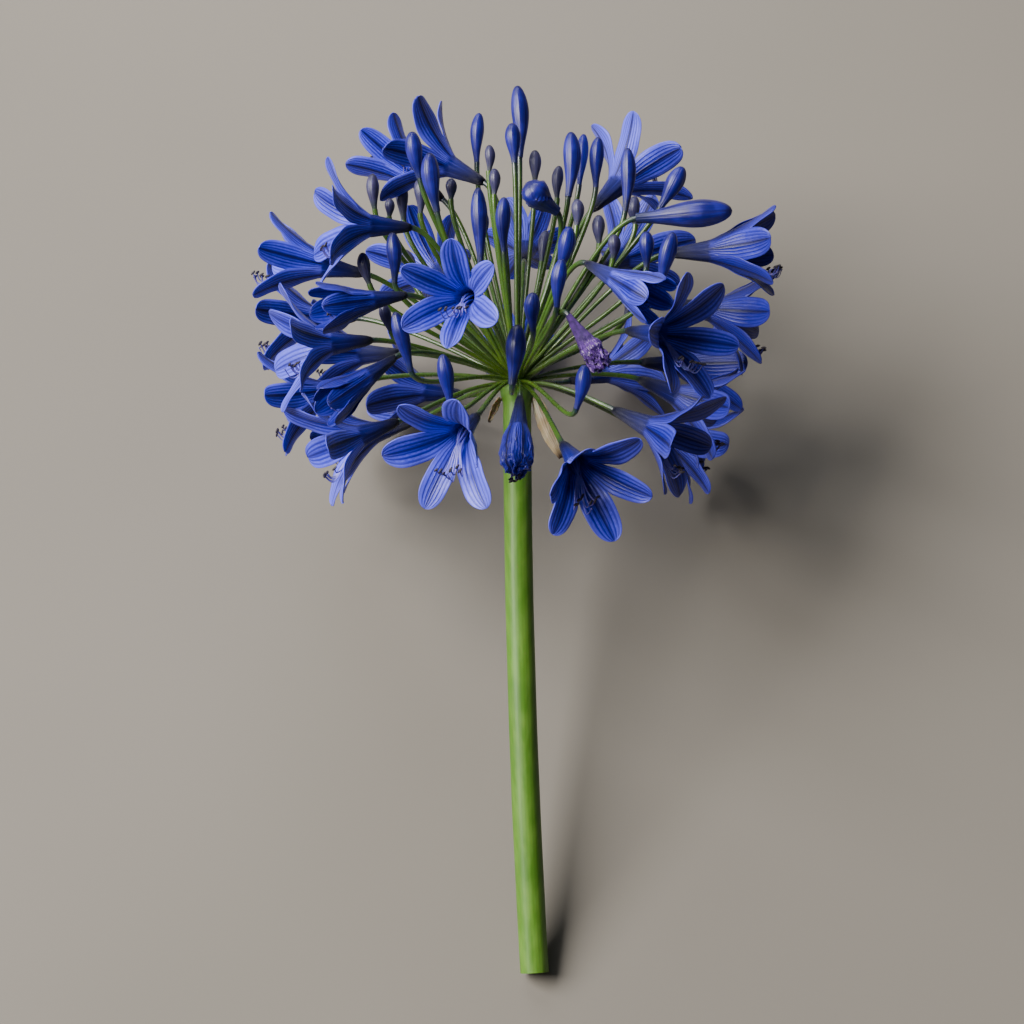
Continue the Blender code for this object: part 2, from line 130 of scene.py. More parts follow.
def spoke(angle: float, radius: float = 1.0, height: float = 0.0) -> Vector:
    """A point round the Z axis.

    Args:
        angle: how far round, in radians.
        radius: how far out.
        height: how far up.

    Returns:
        The point.
    """
    return Vector((radius * math.cos(angle), radius * math.sin(angle), height))


def carried_axes(points: Sequence[Vector]) -> list[Matrix]:
    """Turns along a line that follow its direction without twisting round it.

    Args:
        points: the line's points.

    Returns:
        One turn for each point, whose Z axis runs along the line.
    """
    last = len(points) - 1
    turns: list[Matrix] = []
    for number in range(len(points)):
        onward = points[min(number + 1, last)] - points[max(number - 1, 0)]
        if not turns:
            turns.append(axes_along(onward))
            continue
        bend = turns[-1].col[2].rotation_difference(onward)
        turns.append(bend.to_matrix() @ turns[-1])
    return turns


def through(points: Sequence[Vector], share: float) -> Vector:
    """A point on the smooth curve through some points.

    Args:
        points: the points that the curve passes through.
        share: how far along it, from 0 to 1.

    Returns:
        The point there.
    """
    spans = len(points) - 1
    place = min(share * spans, spans - 1e-6)
    start = int(place)
    t = place - start
    before = points[max(start - 1, 0)]
    first = points[start]
    second = points[start + 1]
    after = points[min(start + 2, spans)]
    return 0.5 * (
        2.0 * first
        + (second - before) * t
        + (2.0 * before - 5.0 * first + 4.0 * second - after) * t * t
        + (3.0 * first - before - 3.0 * second + after) * t * t * t
    )


@dataclass(frozen=True)
class Lie:
    """How the cut flower lies on its surface, in the solids' own sizes."""

    angle: float = math.radians(20.0)
    scape_length: float = 228.0
    scape_radius: float = 5.5
    bearing: float = 0.95
    place_x: float = 0.7
    place_y: float = 48.9

    @property
    def upward(self) -> Vector:
        """The surface's upward direction in the plant's frame."""
        return Vector((0.0, math.sin(self.angle), math.cos(self.angle)))

    @property
    def umbel_height(self) -> float:
        """Height over the surface of the point where the pedicels part."""
        bearing = self.bearing * self.scape_radius * math.cos(self.angle)
        return self.scape_length * math.sin(self.angle) + bearing

    def matrix(self) -> Matrix:
        """The way from the plant's millimetres to the frame's metres."""
        place = Vector((self.place_x, self.place_y, self.umbel_height)) * MM
        return (
            Matrix.Translation(place)
            @ Matrix.Rotation(self.angle, 4, "X")
            @ Matrix.Scale(MM, 4)
        )

    def pressed(self, point: Vector, least: float, onward: Vector) -> Vector:
        """Lift what would lie too low, and bend it on as far along a direction.

        Args:
            point: a point in the plant's frame.
            least: the least height that it may have.
            onward: the direction in which it slides on.

        Returns:
            The point, where the surface lets it be.
        """
        height = self.upward.dot(point) + self.umbel_height
        lift = max(0.0, least - height)
        level = onward - self.upward * self.upward.dot(onward)
        return point + lift * (self.upward + level)

    def pose(self, place: Point, facing: Vector) -> Matrix:
        """Where a lamp or the camera hangs, and how it is turned.

        Args:
            place: its place in the plant's frame.
            facing: the way to it from what it looks at.

        Returns:
            Its pose in the frame's metres.
        """
        turn = Matrix.Rotation(self.angle, 4, "X") @ axes_along(facing).to_4x4()
        return Matrix.Translation(self.matrix() @ Vector(place)) @ turn


LIE = Lie()


def add_object(name: str, data: bpy.types.ID) -> bpy.types.Object:
    """Put an object into the scene.

    Args:
        name: its name.
        data: its mesh, lamp or camera.

    Returns:
        The object.
    """
    thing = bpy.data.objects.new(name, data)
    bpy.context.scene.collection.objects.link(thing)
    return thing


class Blank:
    """A mesh in the making: its sheets and tubes are flat grids that are bent into place."""

    def __init__(self) -> None:
        """Start an empty mesh with a surface map and a tone for each vertex."""
        self.bm = bmesh.new()
        self.bm.loops.layers.uv.new(SURFACE_MAP)
        self.tone = self.bm.verts.layers.float.new(TONE)

    def sheet(self, across: int, along: int, place: Place, tone: float = 0.0) -> None:
        """Lay a grid and bend it.

        Args:
            across: how many faces it has across.
            along: how many faces it has along.
            place: gives a vertex its point from its side, -1 to 1, and its share along, 0 to 1.
            tone: how much paler it is than its neighbours.
        """
        made = bmesh.ops.create_grid(
            self.bm, x_segments=across, y_segments=along, size=1.0, calc_uvs=True
        )
        for vertex in made["verts"]:
            vertex.co = place(vertex.co.x, 0.5 * (vertex.co.y + 1.0))
            vertex[self.tone] = tone

    def tube(
        self,
        sides: int,
        steps: int,
        line: Line,
        relief: Callable[[float, float], float] | None = None,
        tone: float = 0.0,
        capped: bool = True,
    ) -> None:
        """Lay a grid and roll it into a tube.

        Args:
            sides: how many faces it has round it.
            steps: how many faces it has along.
            line: gives the tube's centre and radius from its share along.
            relief: gives how much the radius grows, from side and share, or None.
            tone: how much paler it is than its neighbours.
            capped: whether both of its ends are closed.
        """
        stations = [line(step / steps) for step in range(steps + 1)]
        turns = carried_axes([centre for centre, _ in stations])
        cap = int(capped)
        rows = steps + 2 * cap

        def place(side: float, share: float) -> Vector:
            """The tube's point.

            Args:
                side: how far round it, from -1 to 1.
                share: how far along it, with a row for each cap.

            Returns:
                The point.
            """
            row = round(share * rows) - cap
            step = min(max(row, 0), steps)
            centre, radius = stations[step]
            if row != step:
                radius = 0.0
            if relief is not None:
                radius *= 1.0 + relief(side, step / steps)
            return centre + turns[step] @ spoke(math.pi * side, radius)

        self.sheet(sides, rows, place, tone)

    def pellet(self, centre: Vector, turn: Matrix, radii: Point, surface: int = 0) -> None:
        """Add a small rounded body.

        Args:
            centre: where it is.
            turn: how it is turned.
            radii: its three radii.
            surface: which of the piece's materials it has.
        """
        stretch = Matrix.Diagonal(Vector(radii)).to_4x4()
        made = bmesh.ops.create_uvsphere(
            self.bm,
            u_segments=PELLET_SIDES,
            v_segments=PELLET_RINGS,
            radius=1.0,
            matrix=Matrix.Translation(centre) @ turn.to_4x4() @ stretch,
            calc_uvs=True,
        )
        for vertex in made["verts"]:
            for face in vertex.link_faces:
                face.material_index = surface

    def weld(self) -> None:
        """Close the seams and the poles, and turn the faces outwards."""
        bmesh.ops.remove_doubles(self.bm, verts=self.bm.verts, dist=MERGE_DISTANCE)
        bmesh.ops.recalc_face_normals(self.bm, faces=self.bm.faces)

    def face_away(self, root: Vector, axis: Vector, reach: float) -> None:
        """Turn an open funnel's faces so that those near its foot look away from its axis.

        Args:
            root: the funnel's foot.
            axis: the direction in which it opens.
            reach: how far along the axis the faces are asked.
        """
        outward = 0.0
        for face in self.bm.faces:
            arm = face.calc_center_median() - root
            along = arm.dot(axis)
            if along < reach:
                outward += face.normal.dot(arm - along * axis)
        if outward < 0.0:
            bmesh.ops.reverse_faces(self.bm, faces=self.bm.faces)

    def settle(
        self,
        name: str,
        surfaces: Sequence[bpy.types.Material],
        nodes: Iterable[str] = (),
        thickness: float = 0.0,
    ) -> None:
        """Lay the welded mesh down and put it in the scene as a piece.

        Args:
            name: the piece's name.
            surfaces: its materials; the last one lines an open sheet that gets a wall.
            nodes: the solids that it stands for.
            thickness: the wall that an open sheet gets, in millimetres, half to each side.
        """
        self.bm.transform(LIE.matrix())
        mesh = bpy.data.meshes.new(name)
        self.bm.to_mesh(mesh)
        self.bm.free()
        mesh.shade_smooth()
        mesh.set_sharp_from_angle(angle=SHARP_ANGLE)
        for surface in surfaces:
            mesh.materials.append(surface)
        piece = add_object(name, mesh)
        if thickness > 0.0:
            wall = piece.modifiers.new("wall", "SOLIDIFY")
            wall.thickness = thickness * MM
            wall.offset = 0.0
            wall.material_offset = len(surfaces) - 1
        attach(piece, BODY)
        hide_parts(*nodes)
        log.info("%s: %d faces", name, len(mesh.polygons))


# The colour sockets of a Mix node, which has others of the same names
MIX_FIRST, MIX_SECOND, MIX_RESULT = 6, 7, 2
# Where noise turns from one look to the other, softly for colours and for roughness
SOFT_MARKS = (0.35, 0.65)
GRAIN_MARKS = (0.3, 0.7)
LINE_SHARPNESS = 2.5


@dataclass
class Finish:
    """A material in the making, with short calls for its nodes.

    Patches are counted to a metre, lines to the width of the surface map. The glow's scale is in
    metres and the relief in millimetres. Roughness goes from smooth to rough as the grain says.
    """

    name: str = "finish"
    patches: float = 200.0
    streaks: float = 7.0
    smooth: float = 0.5
    rough: float = 0.5
    shine: float = 0.5
    glow: float = 0.0
    glow_scale: float = 0.001
    glow_radius: Point = (1.0, 0.2, 0.1)
    sheen: float = 0.0
    sheen_roughness: float = 0.5
    relief: float = 0.12
    relief_strength: float = 0.8

    def __post_init__(self) -> None:
        """Start a material with one Principled shader, and nothing painted yet."""
        self.material = bpy.data.materials.new(self.name)
        self.material.use_nodes = True
        self.tree = self.material.node_tree
        self.shader = self.tree.nodes["Principled BSDF"]
        self.ground: Socket | Colour = (0.0, 0.0, 0.0)
        self.grain: Socket | float = 0.0
        self.height: Socket | None = None

    def paint(self) -> None:
        """Lay the colours down, and choose the grain and the height of the relief."""
        raise NotImplementedError

    def made(self) -> bpy.types.Material:
        """Paint the material and give the shader all that it needs.

        Returns:
            The material.
        """
        self.paint()
        values = {
            "Base Color": self.ground,
            "Roughness": self.rise(self.grain, *GRAIN_MARKS, self.smooth, self.rough),
            "Specular IOR Level": self.shine,
            "Subsurface Weight": self.glow,
            "Subsurface Scale": self.glow_scale,
            "Subsurface Radius": self.glow_radius,
            "Sheen Weight": self.sheen,
            "Sheen Roughness": self.sheen_roughness,
        }
        for label, value in values.items():
            self.feed(value, self.shader.inputs[label])
        if self.height is not None:
            node = self.tree.nodes.new("ShaderNodeBump")
            node.inputs["Strength"].default_value = self.relief_strength
            node.inputs["Distance"].default_value = self.relief * MM
            self.tree.links.new(self.height, node.inputs["Height"])
            self.tree.links.new(node.outputs[0], self.shader.inputs["Normal"])
        return self.material

    def feed(self, value: Socket | float | Sequence[float], socket: Socket) -> None:
        """Give a socket a link or a value of its own.

        Args:
            value: an output socket, a number or a colour.
            socket: the input that takes it.
        """
        if isinstance(value, Socket):
            self.tree.links.new(value, socket)
        elif isinstance(value, (int, float)):
            socket.default_value = value
        else:
            socket.default_value = (*value, 1.0)[: len(socket.default_value)]

    def maths(self, operation: str, *values: Socket | float) -> Socket:
        """Work out one number from others.

        Args:
            operation: the Math node's operation.
            values: what it works on, in the node's order.

        Returns:
            The result.
        """
        node = self.tree.nodes.new("ShaderNodeMath")
        node.operation = operation
        for value, socket in zip(values, node.inputs):
            self.feed(value, socket)
        return node.outputs[0]

    def times(self, *values: Socket | float) -> Socket | float:
        """The product of one or more numbers.

        Args:
            values: the numbers.

        Returns:
            Their product.
        """
        product = values[0]
        for value in values[1:]:
            product = self.maths("MULTIPLY", product, value)
        return product

    def rise(
        self, value: Socket | float, low: float, high: float, start: float = 0.0, end: float = 1.0
    ) -> Socket:
        """A smooth change of a value, as the low and high marks say.

        Args:
            value: what is read.
            low: where the change starts.
            high: where it ends.
            start: the result up to low.
            end: the result from high on.

        Returns:
            The changed value.
        """
        node = self.tree.nodes.new("ShaderNodeMapRange")
        node.interpolation_type = "SMOOTHSTEP"
        for socket, given in zip(node.inputs, (value, low, high, start, end)):
            self.feed(given, socket)
        return node.outputs[0]

    def wash(self, colour: Socket | Colour, *shares: Socket | float) -> None:
        """Lay a colour over the ground.

        Args:
            colour: the colour.
            shares: their product says how much of the ground it covers.
        """
        node = self.tree.nodes.new("ShaderNodeMix")
        node.data_type = "RGBA"
        self.feed(self.times(*shares), node.inputs["Factor"])
        self.feed(self.ground, node.inputs[MIX_FIRST])
        self.feed(colour, node.inputs[MIX_SECOND])
        self.ground = node.outputs[MIX_RESULT]

    def mapped(self) -> tuple[Socket, Socket]:
        """The surface map's two values: across, or round, and along.

        Returns:
            Both sockets, each from 0 to 1.
        """
        source = self.tree.nodes.new("ShaderNodeUVMap")
        source.uv_map = SURFACE_MAP
        split = self.tree.nodes.new("ShaderNodeSeparateXYZ")
        self.tree.links.new(source.outputs["UV"], split.inputs[0])
        return split.outputs[0], split.outputs[1]

    def toned(self) -> Socket:
        """The tone that each part of a piece carries.

        Returns:
            The tone, above 0 where the part is paler than its neighbours.
        """
        node = self.tree.nodes.new("ShaderNodeAttribute")
        node.attribute_name = TONE
        return node.outputs["Fac"]

    def stretched(self, scale: Point) -> Socket:
        """Object coordinates, turned into the plant's frame and stretched.

        Args:
            scale: the stretch along each axis.

        Returns:
            The coordinates.
        """
        source = self.tree.nodes.new("ShaderNodeTexCoord")
        mapping = self.tree.nodes.new("ShaderNodeMapping")
        mapping.inputs["Scale"].default_value = scale
        mapping.inputs["Rotation"].default_value = (-LIE.angle, 0.0, 0.0)
        self.tree.links.new(source.outputs["Object"], mapping.inputs["Vector"])
        return mapping.outputs[0]

    def mottle(
        self, patches: float, detail: float = 3.0, stretch: Point = (1.0, 1.0, 1.0)
    ) -> Socket:
        """Soft noise over the surface.

        Args:
            patches: how fine it is, in patches to a metre.
            detail: how many finer layers it has.
            stretch: how it is stretched along the plant's axes.

        Returns:
            The noise, round 0.5.
        """
        node = self.tree.nodes.new("ShaderNodeTexNoise")
        node.inputs["Scale"].default_value = patches
        node.inputs["Detail"].default_value = detail
        self.tree.links.new(self.stretched(stretch), node.inputs["Vector"])
        return node.outputs["Fac"]

    def lines(self, across: Socket, count: float, sway: Socket | float = 0.0) -> Socket:
        """Fine lines side by side.

        Args:
            across: the value that they are counted along.
            count: how many there are.
            sway: how far they are moved to the side, in radians.

        Returns:
            1 on a line, falling to 0 between two.
        """
        angle = self.maths("ADD", self.times(across, count * math.tau), sway)
        wave = self.maths("MULTIPLY_ADD", self.maths("SINE", angle), 0.5, 0.5)
        return self.maths("POWER", wave, LINE_SHARPNESS)


@dataclass
class PetalFinish(Finish):
    """A tepal and its share of the tube: dark midrib, fine veins, pale margins, navy tube, painted
    highlight and shade.
    """

    name: str = "tepal_skin"
    blade: Colour = (0.010, 0.011, 0.50)
    deep: Colour = (0.002, 0.002, 0.19)
    stripe: Colour = (0.001, 0.001, 0.045)
    pale: Colour = (0.14, 0.145, 1.0)
    tube: Colour = (0.003, 0.006, 0.20)
    foot: Colour = (0.002, 0.002, 0.018)
    throat: float = 0.26
    patches: float = 140.0
    fibres: float = 900.0
    streaks: float = 9.0
    streak_waves: float = 260.0
    throat_rags: float = 520.0
    margin_share: float = 0.55
    stripe_share: float = 0.9
    stripe_side: float = 0.24
    ray_share: float = 0.85
    seam_share: float = 0.35
    smooth: float = 0.29
    rough: float = 0.46
    shine: float = 0.38
    glow: float = 0.15
    glow_scale: float = 0.0012
    glow_radius: Point = (0.5, 0.6, 1.0)
    sheen: float = 0.05
    sheen_roughness: float = 0.4
    relief: float = 0.14
    relief_strength: float = 0.75

    def paint(self) -> None:
        """Lay the blade down from its ground to its midrib, then the tube, and join them."""
        throat = self.throat
        across, along = self.mapped()
        side = self.maths("ABSOLUTE", self.maths("MULTIPLY_ADD", across, 2.0, -1.0))
        patches = self.mottle(self.patches)
        fibres = self.grain = self.mottle(self.fibres, 2.0)
        veins = self.lines(across, self.streaks, self.times(self.mottle(self.streak_waves), 1.6))
        self.height = self.maths("MULTIPLY_ADD", fibres, 0.35, veins)
        rags = self.maths("MULTIPLY_ADD", self.mottle(self.throat_rags, 2.0), 0.05, along)
        beyond = self.rise(rags, throat + 0.012, throat + 0.050)
        tone = self.toned()
        painted_light_share = self.rise(tone, -0.9, 0.1, 0.15, 1.0)

        # The blade's own blue, as its patches and veins change it; the tone, which differs a little
        # at random, also lays painted highlight on pale tepals and painted shade on deep florets
        spread = self.maths("ADD", self.rise(side, 0.05, 0.75), self.rise(patches, *GRAIN_MARKS))
        self.ground = self.deep
        self.wash(self.blade, spread, 0.5)
        self.wash(self.pale, self.rise(along, throat + 0.02, 0.86), 0.12)
        self.wash(self.pale, self.rise(tone, 0.0, 1.0, 0.0, 0.8))
        self.wash(self.deep, self.rise(tone, -1.0, 0.05, 0.85, 0.0))
        self.wash(self.deep, veins, self.rise(along, 0.0, 0.9, 0.70, 0.45))

        # Pale lines between the veins (partly the tepal's own, partly painted highlight), pale
        # margins and pale rays out of the throat, faded where the tone paints shade
        between = self.rise(veins, 0.0, 0.25, 1.0, 0.0)
        self.wash(self.pale, between, fibres, self.rise(side, 0.15, 0.4, 0.0, 0.9), painted_light_share)
        margin = self.times(self.rise(side, 0.62, 1.0), self.rise(along, throat, 0.6), painted_light_share)
        self.wash(self.pale, margin, self.margin_share)
        rays = self.times(
            self.rise(side, 0.34, 0.8),
            beyond,
            self.rise(along, throat, 0.62, 1.0, 0.0),
            self.rise(veins, 0.0, 0.7, 1.0, 0.35),
        )
        self.wash(self.pale, rays, painted_light_share, self.ray_share)

        # The dark midrib
        fading = self.rise(along, 0.88, 1.0, self.stripe_share, 0.3)
        self.wash(self.stripe, self.rise(side, 0.02, self.stripe_side, 1.0, 0.0), beyond, fading)
        blade = self.ground

        # The tube, with a pale seam between two tepals, and painted shade where the tone is deep
        self.ground = self.foot
        self.wash(self.tube, self.rise(along, 0.0, throat * 0.92))
        seam = self.times(self.rise(side, 0.86, 1.0), self.rise(along, 0.06, throat))
        self.wash(self.pale, seam, self.seam_share)
        self.wash(self.foot, veins, self.seam_share)
        self.wash(self.foot, self.rise(tone, -1.0, 0.05, 0.6, 0.0))
        self.wash(blade, beyond)


@dataclass
class WitheredFinish(Finish):
    """A floret past its time: purple, creased and dry, with pale folds, partly worn and partly
    painted highlight.
    """

    name: str = "withered_skin"
    dark: Colour = (0.045, 0.012, 0.14)
    mid: Colour = (0.16, 0.055, 0.36)
    wear_and_highlight: Colour = (0.60, 0.45, 0.72)
    patches: float = 420.0
    wear_and_highlight_patches: float = 700.0
    smooth: float = 0.55
    rough: float = 0.8
    relief: float = 0.25
    relief_strength: float = 0.9

    def paint(self) -> None:
        """Lay the purple down, then the pale folds: worn spots and painted highlight."""
        across, along = self.mapped()
        self.grain = self.mottle(self.patches, 4.0)
        self.height = self.lines(across, self.streaks, self.times(self.grain, 5.0))
        self.ground = self.dark
        self.wash(self.mid, self.rise(self.grain, *SOFT_MARKS))
        # Pale spots on the crease lines: partly dry wear, partly painted highlight
        spots = self.rise(self.mottle(self.wear_and_highlight_patches, 2.0), 0.50, 0.60)
        self.wash(self.wear_and_highlight, spots, self.height, self.rise(along, 0.2, 0.6))


@dataclass
class BudFinish(Finish):
    """A closed bud's skin: six outer edges, fine streaks, a pale foot and a dark tip."""

    name: str = "bud_skin"
    body: Colour = (0.005, 0.004, 0.125)
    flush: Colour = (0.016, 0.014, 0.30)
    foot: Colour = (0.010, 0.017, 0.036)
    tip: Colour = (0.003, 0.002, 0.016)
    edge: Colour = (0.002, 0.002, 0.045)
    patches: float = 160.0
    streaks: float = 30.0
    streak_waves: float = 300.0
    smooth: float = 0.30
    rough: float = 0.44
    glow: float = 0.12
    sheen: float = 0.04
    relief_strength: float = 0.7

    def paint(self) -> None:
        """Lay the skin down, then its foot, streaks, edges and tip."""
        around, along = self.mapped()
        self.grain = self.mottle(self.patches)
        sway = self.times(self.mottle(self.streak_waves), 2.5)
        streaks = self.lines(around, self.streaks, sway)
        edges = self.maths("POWER", self.lines(around, TEPALS, self.times(along, 0.9)), 3.0)
        self.height = self.maths("MULTIPLY_ADD", streaks, 0.3, self.times(edges, -1.0))
        self.ground = self.body
        self.wash(self.flush, self.rise(self.grain, 0.35, 0.7))
        self.wash(self.foot, self.rise(along, 0.0, 0.30, 1.0, 0.0))
        self.wash(self.edge, streaks, 0.22)
        self.wash(self.edge, edges, 0.6)
        self.wash(self.tip, self.rise(along, 0.78, 0.98, 0.0, 0.92))
        self.wash(self.flush, self.toned(), 0.5)


@dataclass
class StalkFinish(Finish):
    """A pedicel's skin: yellow green at its root, green along it, blue under its floret."""

    name: str = "pedicel_skin"
    root: Colour = (0.125, 0.215, 0.022)
    body: Colour = (0.064, 0.145, 0.013)
    shade: Colour = (0.013, 0.045, 0.004)
    flushed: Colour = (0.007, 0.012, 0.036)
    patches: float = 180.0
    smooth: float = 0.22
    rough: float = 0.32
    shine: float = 0.9
    glow: float = 0.08
    relief: float = 0.06
    relief_strength: float = 0.5

    def paint(self) -> None:
        """Lay the green down, then the blue at the end of a floret's pedicel."""
        around, along = self.mapped()
        self.grain = self.mottle(self.patches)
        self.height = self.lines(around, self.streaks, self.times(self.grain, 3.0))
        self.ground = self.root
        self.wash(self.body, self.rise(along, 0.0, 0.5))
        self.wash(self.shade, self.rise(self.grain, 0.35, 0.75, 0.0, 0.5))
        self.wash(self.shade, self.height, 0.3)
        self.wash(self.flushed, self.rise(along, 0.80, 0.99), self.toned())


@dataclass
class ScapeFinish(Finish):
    """The scape's skin: fleshy green with long faint streaks, a soft bloom and a few scuffs."""

    name: str = "scape_skin"
    body: Colour = (0.085, 0.215, 0.016)
    light: Colour = (0.130, 0.275, 0.032)
    dark: Colour = (0.036, 0.120, 0.008)
    scuff: Colour = (0.16, 0.18, 0.06)
    patches: float = 28.0
    streaks: float = 26.0
    long_patches: float = 260.0
    scuffs: float = 330.0
    smooth: float = 0.40
    rough: float = 0.50
    shine: float = 0.4
    glow: float = 0.10
    glow_scale: float = 0.002
    relief: float = 0.03
    relief_strength: float = 0.3

    def paint(self) -> None:
        """Lay the green down, then its patches, streaks and scuffs."""
        around, along = self.mapped()
        self.grain = self.mottle(self.long_patches, 4.0, (1.0, 0.05, 1.0))
        patches = self.mottle(self.patches)
        scuffs = self.mottle(self.scuffs, 5.0, (1.0, 0.4, 1.0))
        streaks = self.lines(around, self.streaks, self.times(patches, 2.0))
        self.height = self.maths("ADD", streaks, self.grain)
        self.ground = self.body
        self.wash(self.light, self.rise(self.grain, *SOFT_MARKS))
        self.wash(self.dark, self.rise(patches, 0.4, 0.75, 0.0, 0.6))
        self.wash(self.dark, streaks, 0.14)
        self.wash(self.light, self.rise(along, 0.90, 0.99, 0.0, 0.35))
        self.wash(self.scuff, self.rise(scuffs, 0.68, 0.74, 0.0, 0.55))


@dataclass
class FleshFinish(Finish):
    """The scape's cut face: moist pale flesh with darker strands."""

    name: str = "cut_flesh"
    flesh: Colour = (0.52, 0.58, 0.30)
    strand: Colour = (0.22, 0.34, 0.10)
    patches: float = 500.0
    strands: float = 900.0
    smooth: float = 0.25
    rough: float = 0.4
    glow: float = 0.2
    glow_scale: float = 0.002
    relief_strength: float = 0.6

    def paint(self) -> None:
        """Lay the flesh down, then the strands that were cut across."""
        cells = self.tree.nodes.new("ShaderNodeTexVoronoi")
        cells.inputs["Scale"].default_value = self.strands
        self.tree.links.new(self.stretched((1.0, 0.1, 1.0)), cells.inputs["Vector"])
        self.height = self.rise(cells.outputs["Distance"], 0.12, 0.30, 1.0, 0.0)
        self.grain = self.mottle(self.patches)
        self.ground = self.flesh
        self.wash(self.strand, self.rise(self.grain, *GRAIN_MARKS, 0.0, 0.35))
        self.wash(self.strand, self.height)


@dataclass
class PaperFinish(Finish):
    """A dry spathe scrap: straw coloured paper with long fibres and a brown tip."""

    name: str = "spathe_paper"
    straw: Colour = (0.50, 0.38, 0.21)
    pale: Colour = (0.66, 0.60, 0.45)
    fibre: Colour = (0.30, 0.17, 0.06)
    tip: Colour = (0.050, 0.022, 0.010)
    streaks: float = 9.0
    smooth: float = 0.6
    rough: float = 0.8
    glow: float = 0.15

    def paint(self) -> None:
        """Lay the straw down, then its fibres and its tip."""
        across, along = self.mapped()
        self.grain = self.mottle(self.patches, 4.0)
        self.height = self.lines(across, self.streaks, self.times(self.grain, 3.0))
        self.ground = self.pale
        self.wash(self.straw, self.rise(self.grain, *SOFT_MARKS))
        self.wash(self.straw, self.rise(along, 0.1, 0.7, 0.0, 0.6))
        self.wash(self.fibre, self.height, 0.55)
        self.wash(self.tip, self.rise(along, 0.78, 0.97))


@dataclass
class ThreadFinish(Finish):
    """A filament's skin, from its foot in the tube to its tip."""

    name: str = "filament_skin"
    foot: Colour = (0.11, 0.10, 0.54)
    middle: Colour = (0.25, 0.23, 0.74)
    tip: Colour = (0.030, 0.020, 0.16)
    patches: float = 600.0
    smooth: float = 0.35
    rough: float = 0.5
    glow: float = 0.2
    glow_scale: float = 0.0006

    def paint(self) -> None:
        """Lay the colours down from foot to tip."""
        along = self.mapped()[1]
        self.grain = self.mottle(self.patches)
        self.ground = self.foot
        self.wash(self.middle, self.rise(along, 0.15, 0.45))
        self.wash(self.tip, self.rise(along, 0.58, 0.92))
        self.wash(self.foot, self.rise(self.grain, 0.4, 0.7, 0.0, 0.3))


@dataclass
class AntherFinish(Finish):
    """An anther's skin: blue black, with a dust of pollen."""

    name: str = "anther_skin"
    body: Colour = (0.010, 0.008, 0.022)
    dust: Colour = (0.16, 0.12, 0.14)
    patches: float = 2600.0
    smooth: float = 0.5
    rough: float = 0.85
    relief: float = 0.15

    def paint(self) -> None:
        """Lay the skin down, then the pollen."""
        self.grain = self.height = self.mottle(self.patches, 2.0)
        self.ground = self.body
        self.wash(self.dust, self.rise(self.grain, 0.52, 0.72))


@dataclass
class FloorFinish(Finish):
    """The studio's pale, warm grey floor."""

    name: str = "studio_floor"
    light: Colour = (0.228, 0.207, 0.177)
    dark: Colour = (0.210, 0.191, 0.163)
    patches: float = 2.5
    smooth: float = 0.85
    rough: float = 0.85

    def paint(self) -> None:
        """Lay the grey down in soft patches."""
        self.grain = self.mottle(self.patches)
        self.ground = self.light
        self.wash(self.dark, self.rise(self.grain, *SOFT_MARKS))


class Stage(Enum):
    """How far a floret has come: how many degrees its tips bend inwards, and from which share."""

    OPEN = (0.0, 0.0)
    TRUMPET = (18.0, 0.45)
    SHUT = (25.0, 0.55)
    WITHERED = (25.0, 0.5)


@dataclass(frozen=True)
class FloretForm:
    """Sizes of a full size floret in millimetres and degrees, as in the solids.

    Marks are the shares of the way along between which a shape comes in.
    """

    tube_length: float = 16.0
    tube_base_radius: float = 1.9
    tube_mid_radius: float = 2.7
    tube_foot: float = 0.62
    tube_foot_end: float = 0.16
    tube_middle: float = 0.62
    tube_flare_start: float = 0.38
    tube_flare_power: float = 1.35
    tube_ridge: float = 0.045
    tube_ridge_marks: Pair = (0.05, 0.5)
    throat_radius: float = 4.3
    tepal_length: float = 28.0
    outer_half_width: float = 5.2
    inner_half_width: float = 6.0
    widest: float = 0.55
    tip_power: float = 2.8
    cup: float = 0.27
    cup_fall: float = 0.15
    cup_round: float = 0.7
    throat_flare: float = 4.0
    throat_flare_share: float = 0.4
    tip_flare_share: float = 1.05
    whorl_flare: float = 4.0
    flare_wobble: float = 7.0
    length_wobble: float = 0.05
    lapped_width_share: float = 1.14
    lap: float = 0.38
    keel: float = 0.30
    keel_spread: float = 0.17
    ruffle: float = 0.38
    ruffle_waves: float = 1.9
    ruffle_shift: float = 0.35
    blade_start: float = 0.16
    blade_marks: Pair = (0.05, 0.35)
    curl_marks: Pair = (0.15, 0.75)
    withered_crease: float = 2.3
    shut_crease: float = 0.5
    shut_tip_crease: float = 1.7
    shut_tip_marks: Pair = (0.55, 0.95)
    crease_marks: Pair = (0.1, 0.6)
    crease_scale: float = 0.42
    fine_crease: float = 0.4
    fine_crease_scale: float = 1.3
    tone: float = 0.12
    tone_wobble: float = 0.14
    sway: float = 1.1
    roll: float = 9.0
    wall: float = 0.34
    across: int = 14
    tube_rows: int = 9
    blade_rows: int = 26
    row_crowding: float = 1.45
    column_crowding: float = 1.12
    rib_steps: int = 52
    tip_bend_end: float = 0.95

    @property
    def throat(self) -> float:
        """Where the tube ends on the surface map."""
        return self.tube_rows / (self.tube_rows + self.blade_rows)


